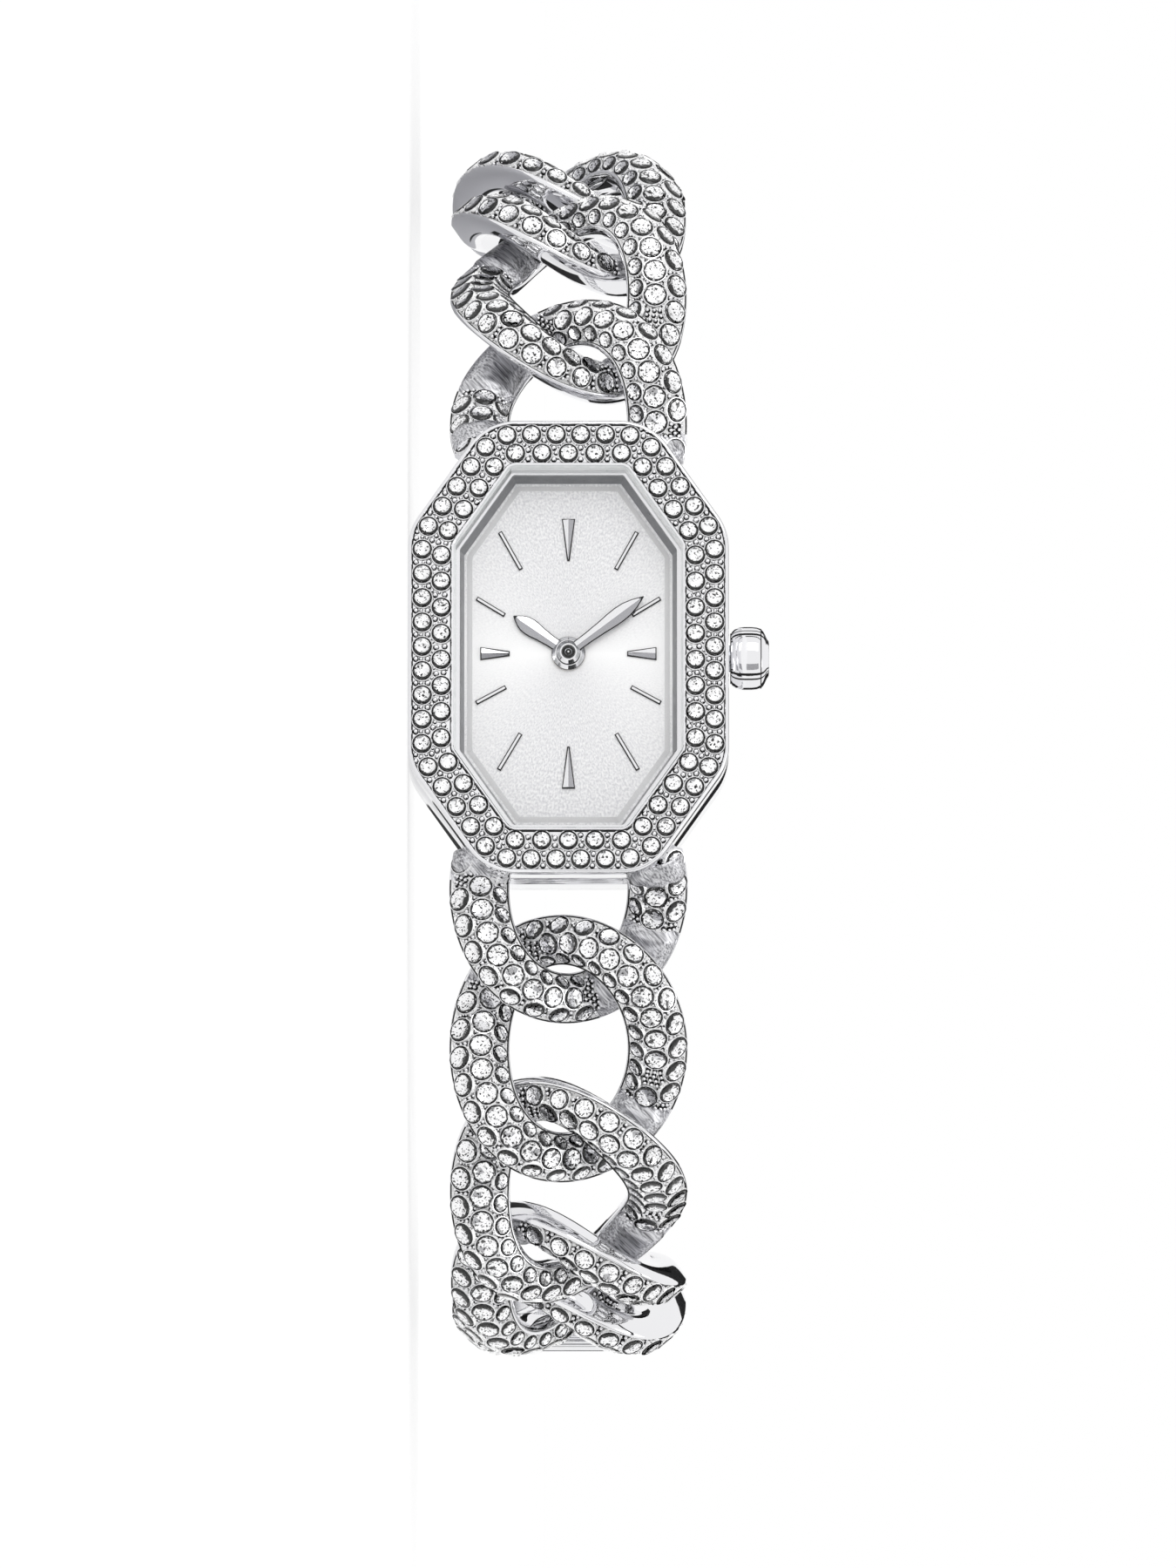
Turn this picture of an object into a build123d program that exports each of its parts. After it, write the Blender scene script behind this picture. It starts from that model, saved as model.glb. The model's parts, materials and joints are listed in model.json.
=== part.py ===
from build123d import *
import math
import os

# Bracelet watch: an elongated octagonal quartz watch on a curb-chain bracelet.
#
# Every piece is modelled in the watch's own axes, in millimetres: +X towards
# 3 o'clock, +Y towards 12 o'clock, +Z out through the glass, with the origin at the
# centre of the case back's outer face. The finished watch then lies on its
# 9 o'clock flank, so that all bracelet hinges are upright.

os.makedirs("parts", exist_ok=True)

# Case outline, seen from the front: an octagon with long slanted sides
case_half_width = 9.0
case_half_length = 12.9
case_corner_radius = 3.2

# Heights above the case back's outer face
back_plate_height = 0.8
case_middle_height = 5.3
overrun = 1.0

# Everything inside is laid out for a case of 18 by 25.8 by 5.3 mm, and keeps its share of any other
wide = case_half_width / 9.0
long = case_half_length / 12.9
high = case_middle_height / 5.3
end_half_width = 4.59 * wide
side_half_length = 6.65 * long
bezel_height = 7.3 * high

# Case middle
case_wall = 1.7
flank_edge = 0.45
stem_height = 3.2 * high

# Case back: a snap-on plate with a neck inside the case
back_margin = 0.45
back_neck_depth = 0.9 * high
back_neck_wall = 0.6
neck_clearance = 0.05
seal_width = 0.35
seal_depth = 0.5 * high
pry_notch_width = 2.4
pry_notch_depth = 0.5
pry_notch_height = 0.35

# Bezel with a sunk channel for two rows of crystals
bezel_rim = 0.22
bezel_lip_inset = 2.42
bezel_lip_width = 0.15
channel_depth = 0.4 * high
rim_drop = 0.1 * high
bezel_ledge = 0.3
ledge_height = 6.1 * high
bezel_skirt_wall = 1.2
bezel_skirt_depth = 0.5 * high

# Crystals of the bezel: six-sided cuts on a flat back
crystal_diameter = 1.05
crystal_height = 0.4 * high
crystal_table_share = 0.56
crystal_sides = 6
outer_row_inset = 0.80
outer_row_count = 50
inner_row_inset = 1.87
inner_row_count = 42

# Glass and its gasket
glass_thickness = 1.15 * high
glass_edge = 0.15
gasket_width = 0.1
gasket_height = 0.8 * high

# Flange ring between glass and dial
flange_outer_inset = 1.85
flange_inset_at_dial = 3.15
dial_base_top = 4.6 * high

# Dial
dial_inset = 1.95
dial_base_thickness = 0.3 * high
dial_field_inset = 3.6
dial_field_rise = 0.14 * high
dial_hole_radius = 0.75

# Applied hour markers: plain bars, and wedges at the quarters
marker_height = 0.14 * high
bar_width = 0.18
bar_ends = {1: (5.5, 7.95), 2: (4.2, 6.05), 4: (4.0, 5.9), 5: (5.3, 7.7)}
bar_angles = {1: 29.0, 2: 58.5, 4: 118.5, 5: 149.5}
quarter_ends = {3: (3.3, 4.95), 6: (5.3, 7.7), 9: (3.3, 4.95), 12: (5.3, 7.7)}
wedge_outer_width = 0.74
wedge_inner_width = 0.29
point_width = 0.12
wedge_ridge_height = 0.26 * high

# Markers and hands reach as far as the flange ring's opening lets them
reach = min(
    (case_half_width - flange_inset_at_dial) / 5.85,
    (case_half_length - flange_inset_at_dial) / 9.75,
)

# Hands, set at nine minutes past ten
minute_hand_length = 5.3 * reach
minute_hand_width = 0.74
minute_hub_radius = 0.68
minute_hand_angle = 53.0
hour_hand_length = 3.7 * reach
hour_hand_width = 0.84
hour_hub_radius = 0.88
hour_hand_angle = 304.5
hand_thickness = 0.13 * high
hand_ridge = 0.1 * high
hand_neck_width = 0.34
widest_share = 0.62
hub_thickness = 0.2 * high
hour_hand_height = 4.93 * high
minute_hand_height = 5.24 * high

# Motion work: cannon pinion, minute wheel with its pinion, hour wheel
gear_distance = 2.4
cannon_teeth = 8
minute_wheel_teeth = 24
minute_pinion_teeth = 8
hour_wheel_teeth = 32
gear_thickness = 0.22 * high
gear_gap = 0.1 * high
tooth_tip_share = 0.15
addendum_share = 0.75
dedendum_share = 1.2
minute_wheel_bearing = 75.0
running_clearance = 0.03
centre_post_radius = 0.2
cannon_radius = 0.37
hour_tube_radius = 0.62
minute_post_radius = 0.2
minute_pipe_radius = 0.34

# Movement: a small oblong quartz calibre
movement_width = 13.0 * wide
movement_length = 15.15 * long
movement_corner = 3.2
plate_bottom = 2.6 * high
plate_top = 3.5 * high
battery_diameter = 6.8 * long
battery_thickness = 2.15 * high
battery_clearance = 0.15
battery_offset = 3.6 * long
clamp_thickness = 0.15 * high
clamp_width = 1.6
train_row = 3.2 * long
bridge_thickness = 0.4 * high
bridge_width = 5.6 * wide
bridge_length = 4.2 * long
bridge_bottom = 1.9 * high
bridge_side_gap = 0.4 * wide
bridge_corner = 1.3
pillar_width = 0.9
coil_length = 6.2 * wide
coil_radius = 0.62 * high
coil_cheek_width = 1.6 * high
coil_cheek_thickness = 0.3
coil_margin = 1.1 * long
circuit_thickness = 0.2 * high
circuit_width = 4.8 * wide
circuit_length = 4.2 * long
chip_size = 1.6
chip_height = 0.5 * high
holder_clearance = 0.08
holder_bottom = 2.2 * high
holder_top = 4.1 * high

# Crown, stem and sliding pinion
crown_tube_radius = 0.75
crown_tube_bore = 0.48
crown_tube_stand_off = 0.55
stem_radius = 0.35
stem_square = 0.42
stem_inner_end = 3.1
stem_round_end = 4.9
pinion_radius = 0.58
pinion_start = 3.6
pinion_length = 0.9
pinion_teeth = 10
pinion_tooth_height = 0.1
square_clearance = 0.035
stem_slot_width = 1.5
crown_across_corners = 3.64
crown_gap = 0.1
crown_length = 2.0
crown_neck_radius = 1.45
crown_neck_length = 0.1
crown_end_edge = 0.3
crown_sides = 6
crown_pocket_radius = 1.05
crown_pocket_depth = 0.75
cabochon_diameter = 1.75
cabochon_height = 0.38
cabochon_sides = 8
cabochon_table_share = 0.5

# Curb link: a wire bent round an oval and twisted, so that it lies flat in the chain
link_pitch = 9.0
link_size = link_pitch / 9.0
link_half_width = 5.0 * link_size
link_half_length = 6.15 * link_size
link_twist = 1.72 * link_size
arm_width = 3.4 * link_size
end_bar_width = 2.85 * link_size
link_front_height = 1.3 * link_size
link_back_height = 1.12 * link_size
link_stations = 18
# Across the wire, the share of half its width, and up it, the share of its height
wire_outline_shares = [
    (1.0, 0.0),
    (0.8, 0.68),
    (0.3, 1.0),
    (-0.3, 1.0),
    (-0.8, 0.68),
    (-1.0, 0.0),
    (-0.5, -1.0),
    (0.5, -1.0),
]

# Chain: hinge of the half-links fixed to the case, and each link's slope at rest,
# from the case outwards, in degrees back from the plane of the dial
first_hinge_length = case_half_length + 4.7 * link_size
first_hinge_height = 2.7
lug_slope = 12.0
upper_slopes = [36.4, 61.5, 83.0, 78.1, 78.1, 78.1, 78.1]
lower_slopes = [17.0, 48.0, 79.0, 98.3, 98.3, 98.3, 98.3]
lug_overlap_angle = 36.0
lug_stations = 13
clasp_stations = 10

# Clasp: a box on the upper chain, a tongue and a safety latch on the lower one
clasp_width = 12.4
clasp_thickness = 3.2
clasp_corner = 0.5
clasp_start = 1.0
clasp_overlap_angle = 4.0
box_length = 5.8
box_wall = 0.7
tongue_block_length = 1.8
tongue_length = 4.6
tongue_width = 7.0
tongue_height = 1.3
tongue_thickness = 0.3
tongue_spring_gap = 0.8
tongue_clearance = 0.3
latch_axis_length = 0.4
latch_axis_lift = 0.65
latch_width = 4.4
latch_length = 5.6
latch_thickness = 0.6
latch_pin_radius = 0.3
latch_knuckle_radius = 0.55
latch_ear_width = 0.8
latch_side_gap = 0.06
latch_pin_clearance = 0.03
latch_lip = 0.5
latch_lip_height = 0.8

# The watch lies on its 9 o'clock flank: 3 o'clock up, the dial towards -Y
lying = Plane(origin=(0, 0, 0), x_dir=(0, 0, 1), z_dir=(0, -1, 0)).location


def save(name, shape):
    """Lay the piece down with the watch and write it under its node's name."""
    export_step(lying * shape, f"parts/{name}.step")


def solids_of(shapes):
    """One compound of separate solids, for pieces that share a node."""
    return Compound([solid for shape in shapes for solid in shape.solids()])


# Octagonal outlines

slant = Vector(case_half_width - end_half_width, side_half_length - case_half_length)
slant_normal = Vector(-slant.Y, slant.X).normalized()
slant_distance = slant_normal.dot(Vector(end_half_width, case_half_length))


def right_corners(inset):
    """The four right-hand corners of the outline drawn in by inset, from the top down."""
    half_width = case_half_width - inset
    half_length = case_half_length - inset
    distance = slant_distance - inset
    end_x = (distance - slant_normal.Y * half_length) / slant_normal.X
    side_y = (distance - slant_normal.X * half_width) / slant_normal.Y
    upper = [(end_x, half_length), (half_width, side_y)]
    return upper + [(x, -y) for x, y in reversed(upper)]


def octagon(inset, corner_radius=0.0):
    """The case outline drawn in by inset, as a face at height zero."""
    right = right_corners(inset)
    left = [(-x, y) for x, y in reversed(right)]
    face = make_face(Polyline(*right, *left, close=True))
    if corner_radius > 0:
        face = fillet(face.vertices(), corner_radius)
    return face


def slab(face, bottom, top):
    """A face at height zero, raised into a solid between two heights."""
    return extrude(Pos(0, 0, bottom) * face, amount=top - bottom)


def disc(radius, bottom, top, x=0.0, y=0.0):
    """An upright round solid."""
    return slab(Pos(x, y) * Circle(radius), bottom, top)


def across(radius, start, end, height):
    """A round solid along the stem's axis."""
    plane = Plane(origin=(start, 0, height), x_dir=(0, 1, 0), z_dir=(1, 0, 0))
    return extrude(plane * Circle(radius), amount=end - start)


# Solids of flat facets


def flat_face(points):
    return Face(Wire.make_polygon(points, close=True))


def faceted(sections, closed=False):
    """A solid of flat triangles over a row of sections with equal point counts."""
    faces = []
    count = len(sections[0])
    pairs = list(zip(sections, sections[1:]))
    if closed:
        pairs.append((sections[-1], sections[0]))
    for here, there in pairs:
        for i in range(count):
            j = (i + 1) % count
            faces.append(flat_face([here[i], here[j], there[j]]))
            faces.append(flat_face([here[i], there[j], there[i]]))
    if not closed:
        faces.append(flat_face(sections[0]))
        faces.append(flat_face(sections[-1]))
    solid = Solid(Shell(faces))
    return solid if solid.volume > 0 else -solid


def cut_stone(diameter, height, table_share, sides):
    """A flat-backed stone: facets that slope from a wide base to a flat table."""
    rings = []
    for radius, z in ((diameter / 2, 0), (diameter / 2 * table_share, height)):
        turns = [math.tau * i / sides for i in range(sides)]
        rings.append([Vector(radius * math.cos(a), radius * math.sin(a), z) for a in turns])
    return faceted(rings)


# Case


def case_middle():
    outer = slab(octagon(0, case_corner_radius), back_plate_height, case_middle_height)
    rear_edges = outer.faces().sort_by(Axis.Z)[0].edges()
    body = chamfer(rear_edges, flank_edge)
    collar_top = case_middle_height + bezel_skirt_depth
    collar = slab(octagon(bezel_skirt_wall), case_middle_height, collar_top)
    body = body + collar
    body = body - slab(octagon(case_wall), back_plate_height, collar_top)
    stem_bore = across(crown_tube_radius, 0, case_half_width + overrun, stem_height)
    return body - stem_bore


def case_back():
    plate = slab(octagon(back_margin, case_corner_radius), 0, back_plate_height)
    neck_inset = case_wall + neck_clearance
    neck = octagon(neck_inset) - octagon(neck_inset + back_neck_wall)
    neck_top = back_plate_height + back_neck_depth
    seal_seat = octagon(neck_inset) - octagon(neck_inset + seal_width)
    body = plate + slab(neck, back_plate_height, neck_top)
    body = body - slab(seal_seat, neck_top - seal_depth, neck_top)
    notch_y = case_half_length - back_margin
    notch = Box(pry_notch_width, pry_notch_depth * 2, pry_notch_height * 2)
    return body - Pos(0, -notch_y, back_plate_height) * notch


def case_back_gasket():
    inset = case_wall + neck_clearance
    top = back_plate_height + back_neck_depth
    return slab(octagon(inset) - octagon(inset + seal_width), top - seal_depth, top)


def bezel():
    lip_end = bezel_lip_inset + bezel_lip_width
    body = slab(octagon(0, case_corner_radius), case_middle_height, bezel_height - rim_drop)
    lip = octagon(bezel_lip_inset)
    body = body + slab(lip, case_middle_height, bezel_height)
    channel = octagon(bezel_rim, case_corner_radius - bezel_rim) - lip
    body = body - slab(channel, bezel_height - channel_depth, bezel_height)
    body = body - slab(octagon(lip_end), ledge_height, bezel_height)
    body = body - slab(octagon(lip_end + bezel_ledge), case_middle_height, bezel_height)
    collar_top = case_middle_height + bezel_skirt_depth
    return body - slab(octagon(bezel_skirt_wall), case_middle_height, collar_top)


def bezel_crystals():
    stone = cut_stone(crystal_diameter, crystal_height, crystal_table_share, crystal_sides)
    floor = bezel_height - channel_depth
    rows = [(outer_row_inset, outer_row_count, 0.5), (inner_row_inset, inner_row_count, 0)]
    stones = []
    for inset, count, first in rows:
        corners = right_corners(inset)
        top = (0, corners[0][1])
        bottom = (0, corners[-1][1])
        path = FilletPolyline(top, *corners, bottom, radius=case_corner_radius - inset)
        step = 2 * path.length / count
        for i in range(count // 2 + 1 - math.ceil(first)):
            at = path.position_at((i + first) * step, PositionMode.LENGTH)
            sides = (1, -1) if at.X > crystal_diameter / 2 else (1,)
            for side in sides:
                stones.append(Pos(side * at.X, at.Y, floor) * stone)
    return solids_of(stones)


def glass():
    inset = bezel_lip_inset + bezel_lip_width + gasket_width
    body = slab(octagon(inset), ledge_height, ledge_height + glass_thickness)
    return chamfer(body.faces().sort_by(Axis.Z)[-1].edges(), glass_edge)


def glass_gasket():
    outer = bezel_lip_inset + bezel_lip_width
    ring = octagon(outer) - octagon(outer + gasket_width)
    return slab(ring, ledge_height, ledge_height + gasket_height)


def flange_ring():
    top = case_middle_height + bezel_skirt_depth
    top_inset = bezel_lip_inset + bezel_lip_width + bezel_ledge
    body = slab(octagon(flange_outer_inset), dial_base_top, top)
    opening = loft(
        [
            Pos(0, 0, dial_base_top) * octagon(flange_inset_at_dial),
            Pos(0, 0, top) * octagon(top_inset),
        ],
        ruled=True,
    )
    return body - opening


# Dial, markers and hands


def dial():
    base = slab(octagon(dial_inset), dial_base_top - dial_base_thickness, dial_base_top)
    field_top = dial_base_top + dial_field_rise
    field = loft(
        [
            Pos(0, 0, dial_base_top) * octagon(flange_inset_at_dial + dial_field_rise),
            Pos(0, 0, field_top) * octagon(dial_field_inset),
        ],
        ruled=True,
    )
    return base + field - disc(dial_hole_radius, 0, field_top)


def prism_marker(inner, outer, inner_width, outer_width, ridge):
    """A marker along +Y with upright sides and, where ridge is given, two slopes."""
    inner, outer = inner * reach, outer * reach
    bottom = dial_base_top + dial_field_rise
    top = bottom + marker_height
    low = [
        Vector(-inner_width / 2, inner, bottom),
        Vector(inner_width / 2, inner, bottom),
        Vector(outer_width / 2, outer, bottom),
        Vector(-outer_width / 2, outer, bottom),
    ]
    if not ridge:
        return slab(make_face(Polyline(*[(p.X, p.Y) for p in low], close=True)), bottom, top)
    crest = bottom + wedge_ridge_height
    inner_end = [low[0], Vector(0, inner, top), low[1]]
    outer_end = [low[3], Vector(0, outer, crest), low[2]]
    return faceted([inner_end, outer_end])


def hour_markers():
    markers = []
    for hour, (inner, outer) in bar_ends.items():
        bar = prism_marker(inner, outer, bar_width, bar_width, ridge=False)
        angle = bar_angles[hour]
        markers.append(Rot(0, 0, -angle) * bar)
        markers.append(Rot(0, 0, angle) * bar)
    for hour, (inner, outer) in quarter_ends.items():
        upright = hour in (6, 12)
        inner_width = point_width if upright else wedge_inner_width
        wedge = prism_marker(inner, outer, inner_width, wedge_outer_width, ridge=True)
        markers.append(Rot(0, 0, -math.degrees(math.tau * hour / 12)) * wedge)
    return solids_of(markers)


def leaf_hand(length, width, hub_radius, bore_radius, bottom):
    """A leaf-shaped hand along +Y, with a ridge down its middle and a round hub."""
    root = hub_radius - hand_neck_width / 2
    stations = [
        (root, hand_neck_width),
        (root + (length - root) * widest_share, width),
        (length, 0),
    ]
    top = bottom + hand_thickness
    sections = []
    for y, wide in stations[:-1]:
        sections.append(
            [
                Vector(-wide / 2, y, bottom),
                Vector(wide / 2, y, bottom),
                Vector(wide / 2, y, top - hand_ridge),
                Vector(0, y, top),
                Vector(-wide / 2, y, top - hand_ridge),
            ]
        )
    tip_low = Vector(0, length, bottom)
    tip_high = Vector(0, length, top - hand_ridge)
    leaf = faceted(sections) + pointed_end(sections[-1], tip_low, tip_high)
    hub = disc(hub_radius, bottom, bottom + hub_thickness)
    return leaf + hub - disc(bore_radius, 0, bottom + overrun)


def pointed_end(section, tip_low, tip_high):
    """The stretch of a hand from its widest section to its tip."""
    left_low, right_low, right_high, ridge, left_high = section
    faces = [
        flat_face([left_low, right_low, tip_low]),
        flat_face([right_low, right_high, tip_high, tip_low]),
        flat_face([left_high, left_low, tip_low, tip_high]),
        flat_face([right_high, ridge, tip_high]),
        flat_face([ridge, left_high, tip_high]),
        flat_face(section),
    ]
    solid = Solid(Shell(faces))
    return solid if solid.volume > 0 else -solid


def minute_hand():
    hand = leaf_hand(
        minute_hand_length,
        minute_hand_width,
        minute_hub_radius,
        cannon_radius,
        minute_hand_height,
    )
    return Rot(0, 0, -minute_hand_angle) * hand


def hour_hand():
    hand = leaf_hand(
        hour_hand_length,
        hour_hand_width,
        hour_hub_radius,
        hour_tube_radius,
        hour_hand_height,
    )
    return Rot(0, 0, -hour_hand_angle) * hand


# Motion work


def gear(teeth, mate_teeth, bottom, turn):
    """A toothed disc about the Z axis, sized to mesh with its mate, one tooth at turn."""
    module = 2 * gear_distance / (teeth + mate_teeth)
    pitch_radius = module * teeth / 2
    tip_radius = pitch_radius + module * addendum_share
    root_radius = pitch_radius - module * dedendum_share
    tooth_angle = math.tau / teeth
    corners = [
        (tip_radius, -tooth_tip_share),
        (tip_radius, tooth_tip_share),
        (root_radius, 1),
    ]
    points = []
    for i in range(teeth):
        for radius, share in corners:
            angle = math.radians(turn) + tooth_angle * (i + share / 2)
            points.append((radius * math.cos(angle), radius * math.sin(angle)))
    return slab(make_face(Polyline(*points, close=True)), bottom, bottom + gear_thickness)


def gap_turn(teeth, bearing):
    """The turn that puts a gap between two teeth at a bearing."""
    return bearing + math.degrees(math.pi / teeth)


lower_gear_height = plate_top + gear_gap
upper_gear_height = lower_gear_height + gear_thickness + gear_gap
minute_wheel_x = gear_distance * math.cos(math.radians(minute_wheel_bearing))
minute_wheel_y = gear_distance * math.sin(math.radians(minute_wheel_bearing))
back_bearing = minute_wheel_bearing + math.degrees(math.pi)


def cannon_pinion():
    top = minute_hand_height + hub_thickness
    pipe = disc(cannon_radius, lower_gear_height, top)
    pinion = gear(cannon_teeth, minute_wheel_teeth, lower_gear_height, minute_wheel_bearing)
    bore = disc(centre_post_radius + running_clearance, 0, top)
    return pipe + pinion - bore


def minute_wheel():
    turn = gap_turn(minute_wheel_teeth, back_bearing)
    wheel = gear(minute_wheel_teeth, cannon_teeth, lower_gear_height, turn)
    pinion = gear(minute_pinion_teeth, hour_wheel_teeth, upper_gear_height, back_bearing)
    pipe = disc(minute_pipe_radius, lower_gear_height, upper_gear_height)
    bore = disc(minute_post_radius + running_clearance, 0, upper_gear_height + gear_thickness)
    return Pos(minute_wheel_x, minute_wheel_y) * (wheel + pinion + pipe - bore)


def hour_wheel():
    turn = gap_turn(hour_wheel_teeth, minute_wheel_bearing)
    wheel = gear(hour_wheel_teeth, minute_pinion_teeth, upper_gear_height, turn)
    top = hour_hand_height + hub_thickness
    tube = disc(hour_tube_radius, upper_gear_height, top)
    return wheel + tube - disc(cannon_radius + running_clearance, 0, top)


# Movement


def oblong(inset):
    """The movement's outline: a rectangle with cut corners."""
    width = movement_width - 2 * inset
    length = movement_length - 2 * inset
    return chamfer(Rectangle(width, length).vertices(), movement_corner)


def main_plate():
    plate = slab(oblong(0), plate_bottom, plate_top)
    pocket_radius = battery_diameter / 2 + battery_clearance
    plate = plate - disc(pocket_radius, 0, plate_top, 0, -battery_offset)
    stem_slot = Pos(movement_width / 2, 0, stem_height) * Box(
        2 * (movement_width / 2 - stem_inner_end), stem_slot_width, 2 * (stem_height - plate_bottom)
    )
    plate = plate - stem_slot
    centre_post = disc(centre_post_radius, plate_top, minute_hand_height)
    minute_post_top = upper_gear_height + gear_thickness
    minute_post = disc(
        minute_post_radius, plate_top, minute_post_top, minute_wheel_x, minute_wheel_y
    )
    return plate + centre_post + minute_post


bridge_x = movement_width / 2 - bridge_width / 2 - bridge_side_gap
circuit_x = -bridge_x


def train_bridge():
    outline = chamfer(Rectangle(bridge_width, bridge_length).vertices(), bridge_corner)
    outline = Pos(bridge_x, train_row) * outline
    body = slab(outline, bridge_bottom, bridge_bottom + bridge_thickness)
    reach_x = bridge_width / 2 - pillar_width
    reach_y = bridge_length / 2 - pillar_width
    for side in (1, -1):
        at = Pos(bridge_x + side * reach_x, train_row - side * reach_y)
        foot = at * Rectangle(pillar_width, pillar_width)
        body = body + slab(foot, bridge_bottom, plate_bottom)
    return body


def circuit_board():
    outline = chamfer(Rectangle(circuit_width, circuit_length).vertices(), bridge_corner)
    outline = Pos(circuit_x, train_row) * outline
    board = slab(outline, plate_bottom - circuit_thickness, plate_bottom)
    chip = Pos(circuit_x, train_row, plate_bottom - circuit_thickness - chip_height / 2)
    return board + chip * Box(chip_size, chip_size, chip_height)


def battery():
    radius = battery_diameter / 2
    return disc(radius, plate_top - battery_thickness, plate_top, 0, -battery_offset)


def battery_clamp():
    bottom = plate_top - battery_thickness - clamp_thickness
    length = battery_diameter + 2 * battery_clearance + 2 * clamp_width
    strip = Pos(0, -battery_offset) * Rectangle(length, clamp_width)
    body = slab(strip, bottom, bottom + clamp_thickness)
    foot_x = length / 2 - clamp_thickness / 2
    for side in (1, -1):
        foot = Pos(side * foot_x, -battery_offset) * Rectangle(clamp_thickness, clamp_width)
        body = body + slab(foot, bottom, plate_bottom)
    return body


def coil():
    """Copper winding on a bobbin with two square cheeks, below the main plate."""
    y = movement_length / 2 - coil_margin
    height = plate_bottom - coil_cheek_width / 2
    plane = Plane(origin=(-coil_length / 2, y, height), x_dir=(0, 1, 0), z_dir=(1, 0, 0))
    body = extrude(plane * Circle(coil_radius), amount=coil_length)
    cheek = Box(coil_cheek_thickness, coil_cheek_width, coil_cheek_width)
    for side in (1, -1):
        body = body + Pos(side * coil_length / 2, y, height) * cheek
    return body


def movement_holder():
    opening = oblong(-holder_clearance)
    ring = slab(octagon(case_wall + neck_clearance) - opening, holder_bottom, holder_top)
    stem_slot = Pos(case_half_width, 0, stem_height) * Box(
        2 * (case_half_width - stem_inner_end), stem_slot_width, 2 * (stem_height - plate_bottom)
    )
    return ring - stem_slot


# Crown and stem


def crown_tube():
    start = case_half_width - case_wall
    end = case_half_width + crown_tube_stand_off
    tube = across(crown_tube_radius, start, end, stem_height)
    return tube - across(crown_tube_bore, start, end, stem_height)


crown_start = case_half_width + crown_gap
crown_end = crown_start + crown_length


def crown():
    """A six-sided barrel with bevelled ends, a round neck and a pocket for the tube."""
    neck_end = crown_start + crown_neck_length
    plane = Plane(origin=(neck_end, 0, stem_height), x_dir=(0, 1, 0), z_dir=(1, 0, 0))
    hexagon = plane * RegularPolygon(crown_across_corners / 2, crown_sides)
    barrel = extrude(hexagon, amount=crown_end - neck_end)
    ends = barrel.faces().sort_by(Axis.X)
    barrel = chamfer(ends[-1].edges() + ends[0].edges(), crown_end_edge)
    neck = across(crown_neck_radius, crown_start, neck_end, stem_height)
    pocket_end = crown_start + crown_pocket_depth
    return barrel + neck - across(crown_pocket_radius, crown_start, pocket_end, stem_height)


def crown_crystal():
    stone = cut_stone(cabochon_diameter, cabochon_height, cabochon_table_share, cabochon_sides)
    plane = Plane(origin=(crown_end, 0, stem_height), x_dir=(0, 1, 0), z_dir=(1, 0, 0))
    return plane.location * stone


def stem():
    head = across(stem_radius, stem_round_end, crown_start + crown_pocket_depth, stem_height)
    middle = (stem_inner_end + stem_round_end) / 2
    length = stem_round_end - stem_inner_end
    square = Pos(middle, 0, stem_height) * Box(length, stem_square, stem_square)
    return head + square


def sliding_pinion():
    plane = Plane(origin=(pinion_start, 0, stem_height), x_dir=(0, 1, 0), z_dir=(1, 0, 0))
    outer = pinion_radius
    inner = pinion_radius - pinion_tooth_height
    points = []
    for i in range(2 * pinion_teeth):
        angle = math.tau * i / (2 * pinion_teeth)
        radius = outer if i % 2 else inner
        points.append((radius * math.cos(angle), radius * math.sin(angle)))
    body = extrude(plane * make_face(Polyline(*points, close=True)), amount=pinion_length)
    hole = stem_square + 2 * square_clearance
    middle = pinion_start + pinion_length / 2
    return body - Pos(middle, 0, stem_height) * Box(pinion_length, hole, hole)


# Bracelet


def wire_section(angle):
    """Outline of the link's wire at an angle round the oval, counted from 3 o'clock."""
    centre = Vector(
        link_half_width * math.cos(angle),
        link_half_length * math.sin(angle),
        link_twist * math.sin(2 * angle),
    )
    along = Vector(
        -link_half_width * math.sin(angle),
        link_half_length * math.cos(angle),
        2 * link_twist * math.cos(2 * angle),
    ).normalized()
    front = (Vector(0, 0, 1) - along * along.Z).normalized()
    outward = along.cross(front)
    width = end_bar_width + (arm_width - end_bar_width) * math.cos(angle) ** 2
    points = []
    for across_share, up_share in wire_outline_shares:
        height = link_front_height if up_share > 0 else link_back_height
        offset = outward * (across_share * width / 2) + front * (up_share * height)
        points.append(centre + offset)
    return points


def full_link():
    step = math.tau / link_stations
    angles = [(i + 0.5) * step for i in range(link_stations)]
    return faceted([wire_section(angle) for angle in angles], closed=True)


def half_link(overlap_angle, stations):
    """The +Y half of a link, with both arms running on past its middle by an angle."""
    start = -math.radians(overlap_angle)
    step = (math.pi - 2 * start) / (stations - 1)
    angles = [start + i * step for i in range(stations)]
    return faceted([wire_section(angle) for angle in angles])


def chain_places(side, slopes):
    """Centre and slope of each link of one chain: side is 1 towards 12, -1 towards 6."""
    y = side * first_hinge_length
    z = first_hinge_height
    places = []
    for slope in slopes:
        angle = math.radians(slope)
        step_y = side * link_pitch * math.cos(angle)
        step_z = -link_pitch * math.sin(angle)
        places.append(Pos(0, y + step_y / 2, z + step_z / 2) * Rot(-side * slope, 0, 0))
        y += step_y
        z += step_z
    return places, (y, z)


def half_link_place(side):
    """Where the half-link fixed to the case has its centre."""
    angle = math.radians(lug_slope)
    y = side * (first_hinge_length - link_pitch / 2 * math.cos(angle))
    z = first_hinge_height + link_pitch / 2 * math.sin(angle)
    turn = 0 if side > 0 else 180
    return Pos(0, y, z) * Rot(-side * lug_slope, 0, 0) * Rot(0, 0, turn)


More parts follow.
